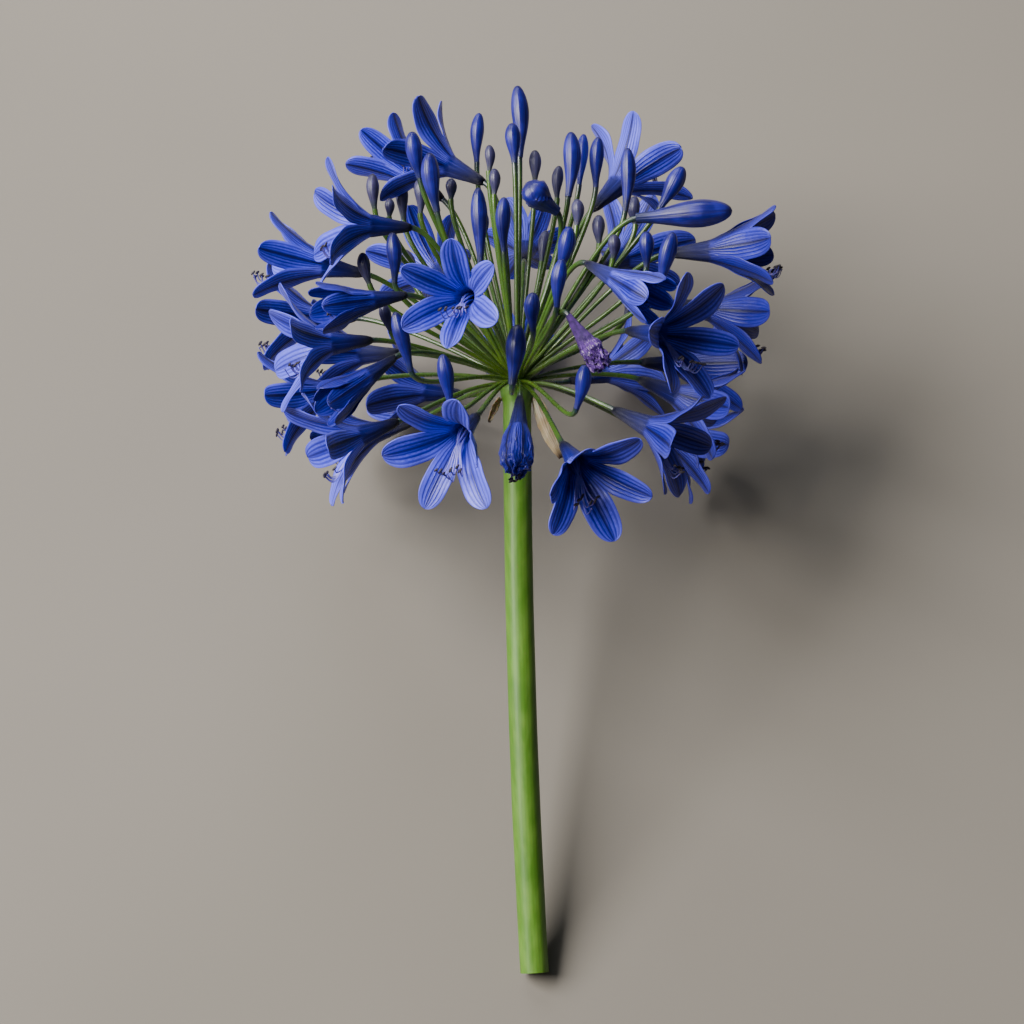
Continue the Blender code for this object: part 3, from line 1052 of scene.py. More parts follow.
@dataclass(frozen=True)
class ThreadForm:
    """Sizes of the stamens and the style of a full size floret, in millimetres.

    An open floret's threads lie along its lower side and turn up at their ends. Each of their
    bends is a spread to the side, a share of the way out to the tepal, and how far the thread is
    above that and further on.
    """

    start: float = 7.0
    ring: float = 1.7
    least_flare: float = 14.0
    style_fan: float = 0.15
    style_reach: float = 0.06
    uneven_reach: float = 0.10
    first_step: float = 0.22
    last_step: float = 0.14
    bends: tuple[tuple[float, float, float, float], ...] = (
        (1.3, 0.50, 0.0, 0.0),
        (3.0, 0.70, 0.0, 0.3),
        (4.4, 0.70, 0.8, 1.5),
        (5.2, 0.70, 3.4, 2.8),
    )
    neck: float = 15.0
    neck_drop: float = 0.9
    neck_ring: float = 0.9
    mouth_share: float = 0.98
    mouth_uneven: float = 0.05
    mouth_neck: float = 0.7
    mouth_ring: float = 2.2
    style_radius: float = 0.22
    radius: float = 0.38
    taper: float = 0.14
    bed: float = 0.6
    stigma: Point = (0.38, 0.38, 0.38)
    anther: Point = (0.50, 0.55, 1.25)
    anther_swing: float = 0.6
    anther_tilt: float = 0.35
    heading_start: float = 0.9
    sides: int = 6
    steps: int = 16


THREAD = ThreadForm()


@dataclass(frozen=True)
class Floret:
    """One floret: a tube that parts into six tepals, and its stamens and style."""

    name: str
    root: Point
    aim: Point
    flare: float
    spin: float
    size: float = 1.0
    close: float = 0.0
    stage: Stage = Stage.OPEN
    # depth darkens the whole floret: painted shade where it lies in shade, partly also its own
    # deeper blue
    depth: float = 0.0
    reach: float = 0.58
    curled: tuple[tuple[int, float], ...] = ()
    # pale lifts single tepals: painted highlight where they catch the light
    pale: tuple[tuple[int, float], ...] = ()
    form: FloretForm = FloretForm()

    @property
    def ahead(self) -> Vector:
        """The direction in which the floret faces."""
        return Vector(self.aim).normalized()

    def extra_flare(self, tepal: int, share: float) -> float:
        """How far a tepal bends beyond its plain arc.

        Args:
            tepal: which tepal.
            share: how far along it.

        Returns:
            The bend there, in degrees, outwards.
        """
        curl = dict(self.curled).get(tepal, 0.0) * ease(share, *self.form.curl_marks)
        bend, start = self.stage.value
        return curl - bend * ease(share, start, self.form.tip_bend_end)

    def midrib(self, tepal: int) -> list[Point]:
        """A tepal's midrib, from the throat to its tip.

        Args:
            tepal: which tepal.

        Returns:
            Distance from the floret's axis, height and flare at even steps.
        """
        form = self.form
        whorl = form.whorl_flare if tepal % 2 else -form.whorl_flare
        uneven = form.flare_wobble * wobble(tepal + 1, self.spin + 10.0 * self.root[0])
        first = form.throat_flare + form.throat_flare_share * self.flare
        last = form.tip_flare_share * self.flare - self.close + whorl + uneven
        stretch = 1.0 + form.length_wobble * wobble(tepal + 7, self.root[1])
        step = form.tepal_length * self.size * stretch / form.rib_steps
        radius = form.throat_radius * self.size
        rise = form.tube_length * self.size
        stations = [(radius, rise, math.radians(first))]
        for number in range(form.rib_steps):
            share = (number + 0.5) / form.rib_steps
            plain = first + (last - first) * share
            flare = math.radians(plain + self.extra_flare(tepal, share))
            radius += step * math.sin(flare)
            rise += step * math.cos(flare)
            stations.append((radius, rise, flare))
        return stations

    def half_width(self, tepal: int, share: float) -> float:
        """Half the width of a full size tepal.

        Args:
            tepal: which tepal.
            share: how far along it from the throat.

        Returns:
            The half width there, in millimetres.
        """
        form = self.form
        widest = form.inner_half_width if tepal % 2 else form.outer_half_width
        narrow = form.throat_radius * 0.5
        if share < form.widest:
            rise = math.sin(0.5 * math.pi * share / form.widest)
            return narrow + (widest - narrow) * rise
        fall = (share - form.widest) / (1.0 - form.widest)
        return widest * math.sqrt(max(0.0, 1.0 - fall**form.tip_power))

    def tube_radius(self, share: float) -> float:
        """The tube's radius, as a share of its length says.

        Args:
            share: how far up the tube.

        Returns:
            The radius there, in millimetres.
        """
        form = self.form
        narrow = (1.0 - form.tube_foot) * (1.0 - ease(share, 0.0, form.tube_foot_end))
        swell = form.tube_mid_radius - form.tube_base_radius
        flare = form.throat_radius - form.tube_mid_radius
        flared = max(0.0, (share - form.tube_flare_start) / (1.0 - form.tube_flare_start))
        radius = form.tube_base_radius * (1.0 - narrow)
        radius += swell * ease(share, 0.0, form.tube_middle)
        radius += flare * flared**form.tube_flare_power
        return radius * self.size

    def ring_point(self, tepal: int, side: float, radius: float, rise: float) -> Vector:
        """A point on a round cross section.

        Args:
            tepal: whose share of the ring it is on.
            side: how far across that share.
            radius: the ring's radius.
            rise: the ring's height.

        Returns:
            The point, in the floret's own frame.
        """
        return spoke((tepal + 0.5 * side) * math.tau / TEPALS, radius, rise)

    def tube_point(self, tepal: int, side: float, share: float) -> Vector:
        """A point on the tube, which has a low ridge along each tepal and a groove between two.

        Args:
            tepal: whose share of the tube it is on.
            side: how far across that share.
            share: how far up the tube.

        Returns:
            The point, in the floret's own frame.
        """
        form = self.form
        grown = ease(share, *form.tube_ridge_marks)
        ridge = 1.0 + form.tube_ridge * math.cos(math.pi * side) * grown
        rise = form.tube_length * self.size * share
        return self.ring_point(tepal, side, self.tube_radius(share) * ridge, rise)

    def blade_point(self, tepal: int, ribs: Sequence[Point], side: float, share: float) -> Vector:
        """A point on a tepal beyond the throat.

        Args:
            tepal: which tepal.
            ribs: its midrib.
            side: how far across it.
            share: how far along it.

        Returns:
            The point, in the floret's own frame.
        """
        form = self.form
        size = self.size
        place = share * form.rib_steps
        low = min(int(place), form.rib_steps - 1)
        part = place - low
        radius, rise, flare = (
            first + (second - first) * part for first, second in zip(ribs[low], ribs[low + 1])
        )
        full = self.half_width(tepal, share) * size
        room = form.lapped_width_share * max(radius, 0.5) * math.tan(math.pi / TEPALS)
        crowded = ease(full - room, 0.0, size)
        free = 1.0 - crowded
        half = min(full, room)
        angle = tepal * math.tau / TEPALS
        outward = spoke(angle)
        across = spoke(angle + 0.5 * math.pi)
        inward = Vector((0.0, 0.0, math.sin(flare))) - outward * math.cos(flare)
        grown = ease(share, *form.blade_marks)
        lap = form.lap * size * crowded * grown * (1.0 if tepal % 2 else -1.0)
        bowl = (1.0 - form.cup_round) * abs(side) + form.cup_round * side * side
        cup = half * (form.cup - form.cup_fall * share) * bowl
        ridge = math.exp(-((side / form.keel_spread) ** 2)) * (1.0 - share)
        keel = form.keel * size * grown * ridge
        phase = form.ruffle_waves * share + wobble(tepal, self.root[0])
        phase += form.ruffle_shift if side > 0.0 else 0.0
        ruffle = form.ruffle * side * side * math.sin(math.tau * phase) * grown * free
        sway = form.sway * size * wobble(tepal + 3, self.root[2]) * share * share * free
        roll = math.radians(form.roll) * wobble(tepal + 5, self.root[1]) * share * free
        width = across * math.cos(roll) + inward * math.sin(roll)
        middle = outward * radius + Vector((0.0, 0.0, rise)) + across * sway
        point = middle + width * half * side + inward * (cup + lap - keel + ruffle)
        if share < form.blade_start:
            ring = self.ring_point(tepal, side, radius, rise)
            point = ring.lerp(point, ease(share, 0.0, form.blade_start))
        return point

    def crumpled(self, point: Vector, share: float) -> Vector:
        """Crease a point of a shut or withered floret.

        Args:
            point: the point, in the floret's own frame.
            share: how far along the tepal it is.

        Returns:
            The creased point.
        """
        if self.stage not in (Stage.SHUT, Stage.WITHERED):
            return point
        form = self.form
        depth = form.withered_crease
        if self.stage is Stage.SHUT:
            depth = form.shut_crease + form.shut_tip_crease * ease(share, *form.shut_tip_marks)
        creases = noise.noise_vector(point * form.crease_scale + Vector(self.root))
        creases += form.fine_crease * noise.noise_vector(point * form.fine_crease_scale)
        return point + creases * depth * ease(share, *form.crease_marks)

    def perianth(self, surfaces: Sequence[bpy.types.Material], slot: str) -> None:
        """Grow the tube and the tepals.

        Args:
            surfaces: the material of their backs and, where it differs, of their lining.
            slot: not used.
        """
        form = self.form
        turn = axes_along(self.aim, self.spin)
        root = Vector(self.root)
        blank = Blank()
        for tepal in range(TEPALS):
            ribs = self.midrib(tepal)

            def place(side: float, share: float) -> Vector:
                """A point of the tepal and its share of the tube.

                Args:
                    side: how far across, from -1 to 1.
                    share: how far along, from the tube's foot to the tip.

                Returns:
                    The point, in the plant's frame.
                """
                if share <= form.throat:
                    point = self.tube_point(tepal, side, share / form.throat)
                else:
                    left = (1.0 - share) / (1.0 - form.throat)
                    along = 1.0 - left**form.row_crowding
                    spread = math.copysign(abs(side) ** form.column_crowding, side)
                    point = self.blade_point(tepal, ribs, spread, along)
                    point = self.crumpled(point, along)
                return LIE.pressed(root + turn @ point, 0.5 * form.wall, self.ahead)

            # A tepal's tone differs a little at random; the listed pale tepals take painted
            # highlight instead, and the floret's depth takes off painted shade
            plain = form.tone + form.tone_wobble * wobble(tepal + 11, self.root[0])
            tone = dict(self.pale).get(tepal, plain) - self.depth
            blank.sheet(form.across, form.tube_rows + form.blade_rows, place, tone)
        blank.weld()
        blank.face_away(root, self.ahead, form.tube_length * self.size)
        blank.settle(f"floret_{self.name}", surfaces, [f"bloom_{self.name}"], form.wall)

    def threads(self) -> list[list[Vector]]:
        """The lines of the six filaments and of the style, which lean to the lower side.

        Returns:
            Their points in the plant's frame, the style's last.
        """
        form = self.form
        size = self.size
        turn = axes_along(self.aim)
        root = Vector(self.root)
        last = math.radians(max(self.flare, THREAD.least_flare) * form.tip_flare_share)
        first = math.radians(form.throat_flare + form.throat_flare_share * self.flare)
        rate = last - first
        middle = 0.5 * (TEPALS - 1)

        def bed(share: float) -> tuple[float, float]:
            """A plain midrib.

            Args:
                share: how far along it.

            Returns:
                Distance from the floret's axis, and height.
            """
            flare = first + rate * share
            outward = (math.cos(first) - math.cos(flare)) / rate
            onward = (math.sin(flare) - math.sin(first)) / rate
            return (
                form.throat_radius + form.tepal_length * outward,
                form.tube_length + form.tepal_length * onward,
            )

        lines = []
        for thread in range(TEPALS + 1):
            style = thread == TEPALS
            angle = (thread + 0.5) * math.tau / TEPALS
            ring = 0.0 if style else THREAD.ring
            fan = THREAD.style_fan if style else (thread - middle) / middle
            uneven = wobble(thread + 2, self.root[0] + self.root[1])
            corners = [spoke(angle, ring, THREAD.start)]
            if self.close > 0.0:
                share = THREAD.mouth_share + THREAD.mouth_uneven * uneven
                mouth = form.tube_length + form.tepal_length * share
                corners.append(spoke(angle, ring, THREAD.mouth_neck * mouth))
                corners.append(spoke(angle, THREAD.mouth_ring, mouth))
            else:
                neck = spoke(angle, THREAD.neck_ring * ring, THREAD.neck)
                corners.append(neck - Vector((0.0, THREAD.neck_drop, 0.0)))
                reach = self.reach + THREAD.uneven_reach * uneven
                reach += THREAD.style_reach if style else 0.0
                steps = (THREAD.first_step, reach - THREAD.last_step, reach, reach)
                for step, (spread, out, above, onward) in zip(steps, THREAD.bends):
                    radius, height = bed(step)
                    bend = Vector((spread * fan, above - out * radius, height + onward))
                    corners.append(bend)
                corners[-1] += Vector((0.0, uneven, uneven))
            lines.append([root + turn @ (corner * size) for corner in corners])
        return lines

    def stamens(self, thread: bpy.types.Material, anther: bpy.types.Material, slot: str) -> None:
        """Grow the filaments with their anthers, and the style.

        Args:
            thread: the filaments' material.
            anther: the anthers' material.
            slot: not used.
        """
        blank = Blank()
        for number, corners in enumerate(self.threads()):
            style = number == TEPALS

            def line(share: float) -> tuple[Vector, float]:
                """A thread, which narrows to its tip.

                Args:
                    share: how far along it.

                Returns:
                    Centre and radius, in the plant's frame.
                """
                radius = THREAD.style_radius if style else THREAD.radius - THREAD.taper * share
                centre = LIE.pressed(through(corners, share), THREAD.bed, self.ahead)
                return centre, radius * self.size

            blank.tube(THREAD.sides, THREAD.steps, line)
            tip = line(1.0)[0]
            if style:
                blank.pellet(tip, Matrix.Identity(3), THREAD.stigma)
                continue
            heading = (tip - line(THREAD.heading_start)[0]).normalized()
            sway = (wobble(number, self.root[0]), wobble(number, self.root[1]))
            cross = Vector((*sway, THREAD.anther_swing))
            turn = axes_along(heading.cross(cross) + heading * THREAD.anther_tilt)
            blank.pellet(tip, turn, THREAD.anther, 1)
        blank.weld()
        blank.settle(f"stamens_{self.name}", [thread, anther])


@dataclass(frozen=True)
class Bud:
    """One closed bud, from the end of its pedicel to its tip: a club that is thickest near it."""

    root: Point
    tip: Point
    radius: float
    furl: float = 0.0
    widest: float = 0.66
    foot: float = 0.38
    tip_power: float = 1.65
    bow: float = 0.35
    edge: float = 0.055
    edge_level: float = 0.6
    edge_twist: float = 0.9
    edge_marks: Pair = (0.1, 0.5)
    edge_fading: float = 0.6
    edge_fading_marks: Pair = (0.85, 1.0)
    laps: float = 1.5
    lap_twist: float = 1.3
    lap_marks: Pair = (0.05, 0.3)
    lap_end_marks: Pair = (0.9, 1.0)
    ring_crowding: float = 1.25
    sides: int = 30
    steps: int = 26

    @property
    def along(self) -> Vector:
        """The way from the bud's foot to its tip."""
        return Vector(self.tip) - Vector(self.root)

    def width(self, share: float) -> float:
        """The bud's width as a share of its widest.

        Args:
            share: how far along the bud.

        Returns:
            The width there, from 0 to 1.
        """
        if share < self.widest:
            rise = math.sin(0.5 * math.pi * share / self.widest) ** 2
            return self.foot + (1.0 - self.foot) * rise
        fall = (share - self.widest) / (1.0 - self.widest)
        return math.sqrt(max(0.0, 1.0 - fall**self.tip_power))

    def line(self, share: float) -> tuple[Vector, float]:
        """Centre and radius at a share of the bud's length, bowed a little.

        Args:
            share: how far along the bud.

        Returns:
            Both, in the plant's frame.
        """
        eased = 1.0 - (1.0 - share) ** self.ring_crowding
        bow = self.bow * self.radius * math.sin(math.pi * eased)
        bow *= wobble(self.root[0], self.root[1])
        centre = Vector(self.root) + self.along * eased + Vector((bow, 0.0, 0.0))
        return centre, self.radius * self.width(eased)

    def relief(self, side: float, share: float) -> float:
        """Low ribs where the closed tepals meet, and the laps of furled ones.

        Args:
            side: how far round the bud, from -1 to 1.
            share: how far along it.

        Returns:
            How much the radius grows there, as a share of it.
        """
        angle = TEPALS * math.pi * side + self.edge_twist * share
        left = 1.0 - self.edge_fading * ease(share, *self.edge_fading_marks)
        deep = self.edge * ease(share, *self.edge_marks) * left
        lapped = (self.laps * (side + 1.0) + self.lap_twist * share) % 1.0 - 0.5
        furled = self.furl * lapped * ease(share, *self.lap_marks)
        furled *= 1.0 - ease(share, *self.lap_end_marks)
        return deep * (abs(math.sin(0.5 * angle)) - self.edge_level) + furled

    def grow(self, blank: Blank, tone: float) -> None:
        """Add the bud to a mesh.

        Args:
            blank: the mesh.
            tone: how much paler it is than its neighbours.
        """
        blank.tube(self.sides, self.steps, self.line, self.relief, tone)


@dataclass(frozen=True)
class Stalks:
    """The pedicels, each on its own curve from the receptacle to the foot of its floret."""

    radius: float = 0.85
    tip_radius: float = 1.15
    swell_power: int = 3
    root_depth: float = 4.0
    lift: float = 0.28
    leave_speed: float = 0.9
    arrive_speed: float = 0.55
    sink: float = 0.6
    root_swell: float = 0.35
    root_swell_end: float = 0.08
    floret_flush: float = 1.0
    bud_flush: float = 0.95
    sides: int = 10
    steps: int = 26

    def curve(self, root: Point, aim: Vector) -> Line:
        """A pedicel's line.

        Args:
            root: where its floret starts.
            aim: where its floret faces.

        Returns:
            A function that gives centre and radius from the share along.
        """
        end = Vector(root) + aim * self.sink
        outward = Vector(root).normalized()
        lift = self.lift * max(0.0, 1.0 - outward.y)
        leave = (outward + Vector((0.0, lift, 0.0))).normalized()
        start = leave * self.root_depth
        span = (end - start).length
        first = leave * span * self.leave_speed
        second = aim * span * self.arrive_speed

        def line(share: float) -> tuple[Vector, float]:
            """The pedicel's line, a smooth curve between its two ends.

            Args:
                share: how far along it.

            Returns:
                Centre and radius, in the plant's frame.
            """
            s2 = share * share
            s3 = s2 * share
            centre = (
                (2.0 * s3 - 3.0 * s2 + 1.0) * start
                + (s3 - 2.0 * s2 + share) * first
                + (3.0 * s2 - 2.0 * s3) * end
                + (s3 - s2) * second
            )
            swell = share**self.swell_power
            radius = self.radius + (self.tip_radius - self.radius) * swell
            foot = self.root_swell * (1.0 - ease(share, 0.0, self.root_swell_end))
            return centre, radius + foot

        return line

    def grow(self, blank: Blank, root: Point, aim: Vector, flush: float) -> None:
        """Add a pedicel to a mesh.

        Args:
            blank: the mesh.
            root: where its floret starts.
            aim: where its floret faces.
            flush: how blue its end is.
        """
        blank.tube(self.sides, self.steps, self.curve(root, aim), tone=flush)


@dataclass(frozen=True)
class Scape:
    """The stem from its cut end to the domed receptacle, with faint ribs along it.

    The cut face is inset ring by ring. Each ring has its width in rims, its rise in dishes and
    whether its width is even.
    """

    lean: float = 6.7
    receptacle_radius: float = 6.8
    receptacle_start: float = -8.0
    receptacle_widest: float = -2.0
    receptacle_rise: float = 4.5
    dome_power: float = 2.2
    unevenness: float = 0.015
    slow_waves: float = 9.0
    rib: float = 0.004
    rib_sway: float = 3.0
    ribs: int = 13
    sides: int = 52
    steps: int = 110
    rim: float = 0.35
    dish: float = 0.25
    rings: tuple[tuple[float, float, bool], ...] = (
        (1.0, 0.0, True),
        (1.0, -1.0, False),
        (4.0, 0.6, False),
    )

    def line(self, share: float) -> tuple[Vector, float]:
        """Centre and radius at a share of the scape.

        Args:
            share: how far along it from the cut end.

        Returns:
            Both, in the plant's frame.
        """
        length = LIE.scape_length
        y = -length + (length + self.receptacle_rise) * share
        down = max(0.0, -y / length)
        centre = Vector((self.lean * down * down, y, 0.0))
        swell = ease(y, self.receptacle_start, self.receptacle_widest)
        radius = LIE.scape_radius + (self.receptacle_radius - LIE.scape_radius) * swell
        if y > self.receptacle_widest:
            fall = (y - self.receptacle_widest) / (self.receptacle_rise - self.receptacle_widest)
            radius *= math.sqrt(max(0.0, 1.0 - fall**self.dome_power))
        return centre, radius

    def relief(self, side: float, share: float) -> float:
        """The ribs and a slow unevenness.

        Args:
            side: how far round, from -1 to 1.
            share: how far along.

        Returns:
            How much the radius grows there, as a share of it.
        """
        angle = math.pi * side
        slow = noise.noise(spoke(angle, height=self.slow_waves * share))
        ribs = math.cos(self.ribs * angle + self.rib_sway * slow)
        return self.rib * ribs + self.unevenness * slow

    def build(self, skin: bpy.types.Material, flesh: bpy.types.Material, slot: str) -> None:
        """Grow the scape and close its cut end.

        Args:
            skin: its material.
            flesh: the cut face's material.
            slot: not used.
        """
        blank = Blank()
        blank.tube(self.sides, self.steps, self.line, self.relief, capped=False)
        blank.weld()
        bm = blank.bm
        for vertex in bm.verts:
            vertex.co = LIE.pressed(vertex.co, 0.0, Vector())
        open_edges = [edge for edge in bm.edges if edge.is_boundary]
        face = bmesh.ops.holes_fill(bm, edges=open_edges, sides=0)["faces"][0]
        face.material_index = 1
        for width, rise, even in self.rings:
            bmesh.ops.inset_region(
                bm,
                faces=[face],
                thickness=width * self.rim,
                depth=rise * self.dish,
                use_even_offset=even,
            )
        blank.weld()
        blank.settle("scape", [skin, flesh], [STEM_NODE])


@dataclass(frozen=True)
class Scrap:
    """One dry scrap of the spathe: a crinkled sheet along its midrib, twisted from end to end."""

    name: str
    rib: tuple[Point, ...]
    widths: tuple[float, ...]
    across: tuple[Point, Point]
    spread: float = 1.5
    curl: float = 0.35
    crinkle: float = 0.45
    crinkles: Pair = (9.0, 2.2)
    ragged: float = 0.16
    rags: Pair = (14.0, 3.0)
    least_width: float = 0.25
    wall: float = 0.18
    columns: int = 12
    rows: int = 40

    def place(self, side: float, share: float) -> Vector:
        """The sheet's point at a side and a share.

        Args:
            side: how far across.
            share: how far along the midrib.

        Returns:
            The point, in the plant's frame.
        """
        middle = through([Vector(point) for point in self.rib], share)
        marks = [Vector((width, 0.0, 0.0)) for width in self.widths]
        half = 0.5 * self.spread * max(self.least_width, through(marks, share).x)
        first, last = (Vector(edge).normalized() for edge in self.across)
        edge = first.lerp(last, share).normalized()
        onward = Vector(self.rib[-1]) - Vector(self.rib[0])
        face = onward.cross(edge).normalized()
        along, over = self.rags
        ragged = 1.0 + self.ragged * noise.noise(Vector((along * share, over * side, 0.0)))
        fold = self.curl * half * math.cos(math.pi * side)
        along, over = self.crinkles
        crease = self.crinkle * noise.noise(Vector((along * share, over * side, half)))
        return middle + edge * half * ragged * side + face * (fold + crease)

    def build(self, surface: bpy.types.Material, slot: str) -> None:
        """Make the scrap.

        Args:
            surface: its material.
            slot: not used.
        """
        blank = Blank()
        blank.sheet(self.columns, self.rows, self.place)
        blank.weld()
        blank.settle(self.name + "_paper", [surface], [self.name], self.wall)


# In the table, pale tepals carry painted highlight and depth carries painted shade
FLORETS = (
    Floret("top_left", (-30, 79, -23), (-0.74, 0.62, -0.22), 32, 10, 0.95, depth=0.2),
    Floret(
        "top_left_dark", (-13, 80, 4), (-0.85, 0.47, -0.30), 64, -10, pale=((1, 0.4), (2, 0.5)),
        depth=0.2,
    ),
    Floret(
        "left_high", (-41, 58, 24), (-0.97, 0.00, 0.20), 66, 20, reach=0.66,
        pale=((4, 0.7), (3, 0.3)),
    ),
    Floret(
        "left_half_open", (-60, 44, 2), (-0.95, 0.18, -0.05), 38, 0, reach=0.88, pale=((3, 0.8),),
    ),
    Floret(
        "left_closed", (-42, 28, 44), (-0.92, -0.20, 0.30), 22, 0, 0.84, stage=Stage.TRUMPET,
        depth=0.8,
    ),
    Floret("left_middle", (-56, 14, 24), (-0.95, -0.12, 0.20), 62, 15, pale=((3, 0.6), (4, 0.5))),
    Floret(
        "left_trumpet", (-46, 4, 46), (-0.76, -0.60, 0.30), 18, 0, 0.82, stage=Stage.TRUMPET,
        depth=0.9,
    ),
    Floret("left_edge", (-65, 31, -26), (-0.98, 0.03, -0.15), 60, 0, reach=0.85),
    Floret("left_low_edge", (-60, 2, -2), (-0.95, -0.25, -0.10), 55, 0, depth=0.35, reach=0.85),
    Floret(
        "left_low", (-46, -17, 20), (-0.88, -0.38, 0.22), 62, 0, reach=0.70,
        pale=((4, 0.9), (5, 0.7)),
    ),
    Floret(
        "front_low_left", (-15, -19, 52), (-0.38, -0.53, 0.76), 64, 0, curled=((0, -30.0),),
        pale=((5, 0.6), (4, 0.3)),
    ),
    Floret(
        "front_left", (-15, 25, 56), (-0.30, -0.14, 0.94), 54, 28, 0.90, reach=0.50,
        pale=((0, 0.5), (5, 0.6)),
    ),
    Floret(
        "front_hanging", (1, -9, 32), (-0.05, -0.93, 0.35), 55, 0, 0.80, 86, stage=Stage.SHUT,
        depth=0.7,
    ),
    Floret(
        "front_low_right", (17, -29, 47), (0.32, -0.58, 0.76), 58, 0,
        curled=((3, -28.0), (2, -16.0)), depth=0.25,
    ),
    Floret("right_low", (37, -13, 24), (0.85, -0.45, 0.30), 60, 10, depth=0.65, reach=0.78),
    Floret("right_low_edge", (48, 3, -4), (0.90, -0.38, -0.05), 55, 0, depth=0.7, reach=0.90),
    Floret("front_right", (42, 16, 34), (0.70, -0.18, 0.60), 66, 0, depth=0.3, reach=0.66),
    Floret(
        "front_right_half_open", (26, 40, 46), (0.72, -0.48, 0.42), 25, 0, 0.84,
        stage=Stage.TRUMPET, pale=((4, 0.5),), depth=0.4,
    ),
    Floret("right_edge", (61, 34, -8), (0.98, -0.18, -0.05), 56, 0, depth=1.0, reach=0.92),
    Floret("right_high", (59, 50, 13), (0.99, 0.03, 0.10), 36, 0, depth=0.85, reach=0.92),
    Floret(
        "top_right", (30, 72, -10), (0.55, 0.60, -0.35), 64, 0,
        pale=((1, 1.0), (2, 0.8), (3, 0.1)), depth=0.15,
    ),
    Floret("right_behind", (50, 14, -32), (0.90, -0.02, -0.30), 48, 0, depth=0.8),
    Floret("withered", (19, 20, 48), (0.50, -0.80, 0.20), 20, 0, 0.60, 26, stage=Stage.WITHERED),
    Floret("back_left_high", (-26, 46, -46), (-0.35, 0.45, -0.60), 60, 0),
    Floret("back_right_high", (34, 54, -44), (0.45, 0.35, -0.60), 60, 0),
    Floret("back_top", (3, 58, -45), (0.05, 0.42, -0.80), 48, 0, 0.92),
    Floret("back_left", (-48, 20, -46), (-0.75, 0.00, -0.20), 60, 0, depth=0.4),
    Floret("back_right", (48, -9, -46), (0.77, -0.28, -0.12), 56, 0, depth=0.4),
    Floret("back_low_right", (22, 12, -71), (0.70, 0.20, -0.20), 60, 30),
    Floret("back_low_left", (-22, 6, -70), (-0.75, 0.10, -0.10), 60, 30),
    Floret("under_left", (-42, -10, -34), (-0.85, -0.22, -0.15), 55, 0),
    Floret("back_middle", (0, 20, -62), (0.00, 0.22, -0.62), 50, 0, 0.90),
)

BUDS = (
    Bud((1, 91, 0), (0, 120, 0), 3.6),
    Bud((-1, 86, 12), (-2, 102, 12), 3.2),
    Bud((-16, 91, -12), (-15, 112, -13), 2.8),
    Bud((20, 73, 10), (21, 99, 10), 3.6),
    Bud((25, 84, -22), (27, 106, -24), 2.6),
    Bud((31, 78, 4), (32, 98, 5), 3.0),
    Bud((42, 66, 16), (43, 91, 17), 3.1),
    Bud((56, 69, 8), (65, 85, 10), 3.6),
    Bud((50, 43, 21), (50, 57, 22), 3.0),
    Bud((55, 35, 26), (60, 55, 30), 3.3),
    Bud((16, 39, 32), (20, 56, 36), 3.3),
    Bud((15, 23, 46), (17, 41, 49), 3.0),
    Bud((6, 13, 52), (6, 27, 56), 3.0),
    Bud((-2, -9, 64), (0, 13, 67), 3.9),
    Bud((-14, 42, 34), (-15, 71, 37), 3.3),
    Bud((-5, 49, 22), (-5, 70, 24), 3.0),
    Bud((-38, 79, 17), (-41, 97, 19), 3.3),
    Bud((-31, 65, 20), (-34, 88, 22), 3.6),
    Bud((-47, 35, 32), (-48, 54, 35), 3.0),
    Bud((-40, -2, 50), (-46, 20, 54), 3.1),
    Bud((-25, -16, 56), (-28, 3, 60), 3.0),
    Bud((22, -17, 56), (25, -1, 60), 3.0),
    Bud((46, 62, 22), (83, 64, 27), 5.4),
)

YOUNG_BUDS = (
    Bud((-45, 67, -10), (-46, 84, -10), 2.6),
    Bud((-56, 69, 2), (-57, 84, 2), 2.6),
    Bud((-48, 15, 36), (-51, 26, 38), 2.3),
    Bud((-11, 82, 13), (-11, 93, 13), 2.1),
    Bud((-9, 72, 16), (-9, 83, 16), 2.3),
    Bud((7, 80, 4), (7, 93, 4), 2.5),
    Bud((47, 65, -8), (47, 77, -8), 2.6),
    Bud((37, 46, 20), (37, 56, 21), 2.6),
    Bud((32, 53, 14), (32, 65, 14), 2.6),
    Bud((23, 59, 20), (23, 70, 20), 2.6),
    Bud((-26, 72, 7), (-26, 81, 7), 2.3),
    Bud((-38, 66, 9), (-39, 80, 9), 2.4),
    Bud((-50, 64, 12), (-50, 72, 12), 2.0),
    Bud((-57, 36, 20), (-60, 49, 20), 2.5),
    Bud((10, 56, -40), (12, 70, -42), 2.5),
    Bud((-14, 66, -44), (-15, 80, -46), 2.6),
    Bud((44, 34, -46), (48, 46, -50), 2.6),
    Bud((-42, 48, -40), (-46, 62, -42), 2.5),
    Bud((16, 76, -10), (17, 90, -11), 2.4),
)

# What tells the tones of the large buds from those of the young ones
BUD_TONES = 3.0
YOUNG_BUD_TONES = 7.0

# The curled floret at the top, rolled up with laps
CURLED_TONE = 0.6
CURLED = Bud((15.5, 66.0, 16.0), (4.5, 74.5, 26.0), 5.4, furl=0.24, tip_power=2.4)

SCRAPS = (
    Scrap(
        "spathe_strip",
        ((6.9, -5, 1.5), (8.6, -11, 3.0), (11.5, -19, 5.0), (14.5, -25, 5.5), (17.0, -29.5, 5.0)),
        (2.6, 3.6, 3.4, 2.4, 0.8),
        ((0.8, 0.2, 0.8), (1.0, 0.5, 0.5)),
        spread=1.85,
    ),
    Scrap(
        "spathe_shred",
        ((-6.9, -5.0, 1.0), (-9.0, -9.0, 2.0), (-11.0, -15.0, 3.0)),
        (2.0, 2.4, 0.8),
        ((-0.4, 0.1, 1.0), (-1.0, 0.4, 0.5)),
    ),
)


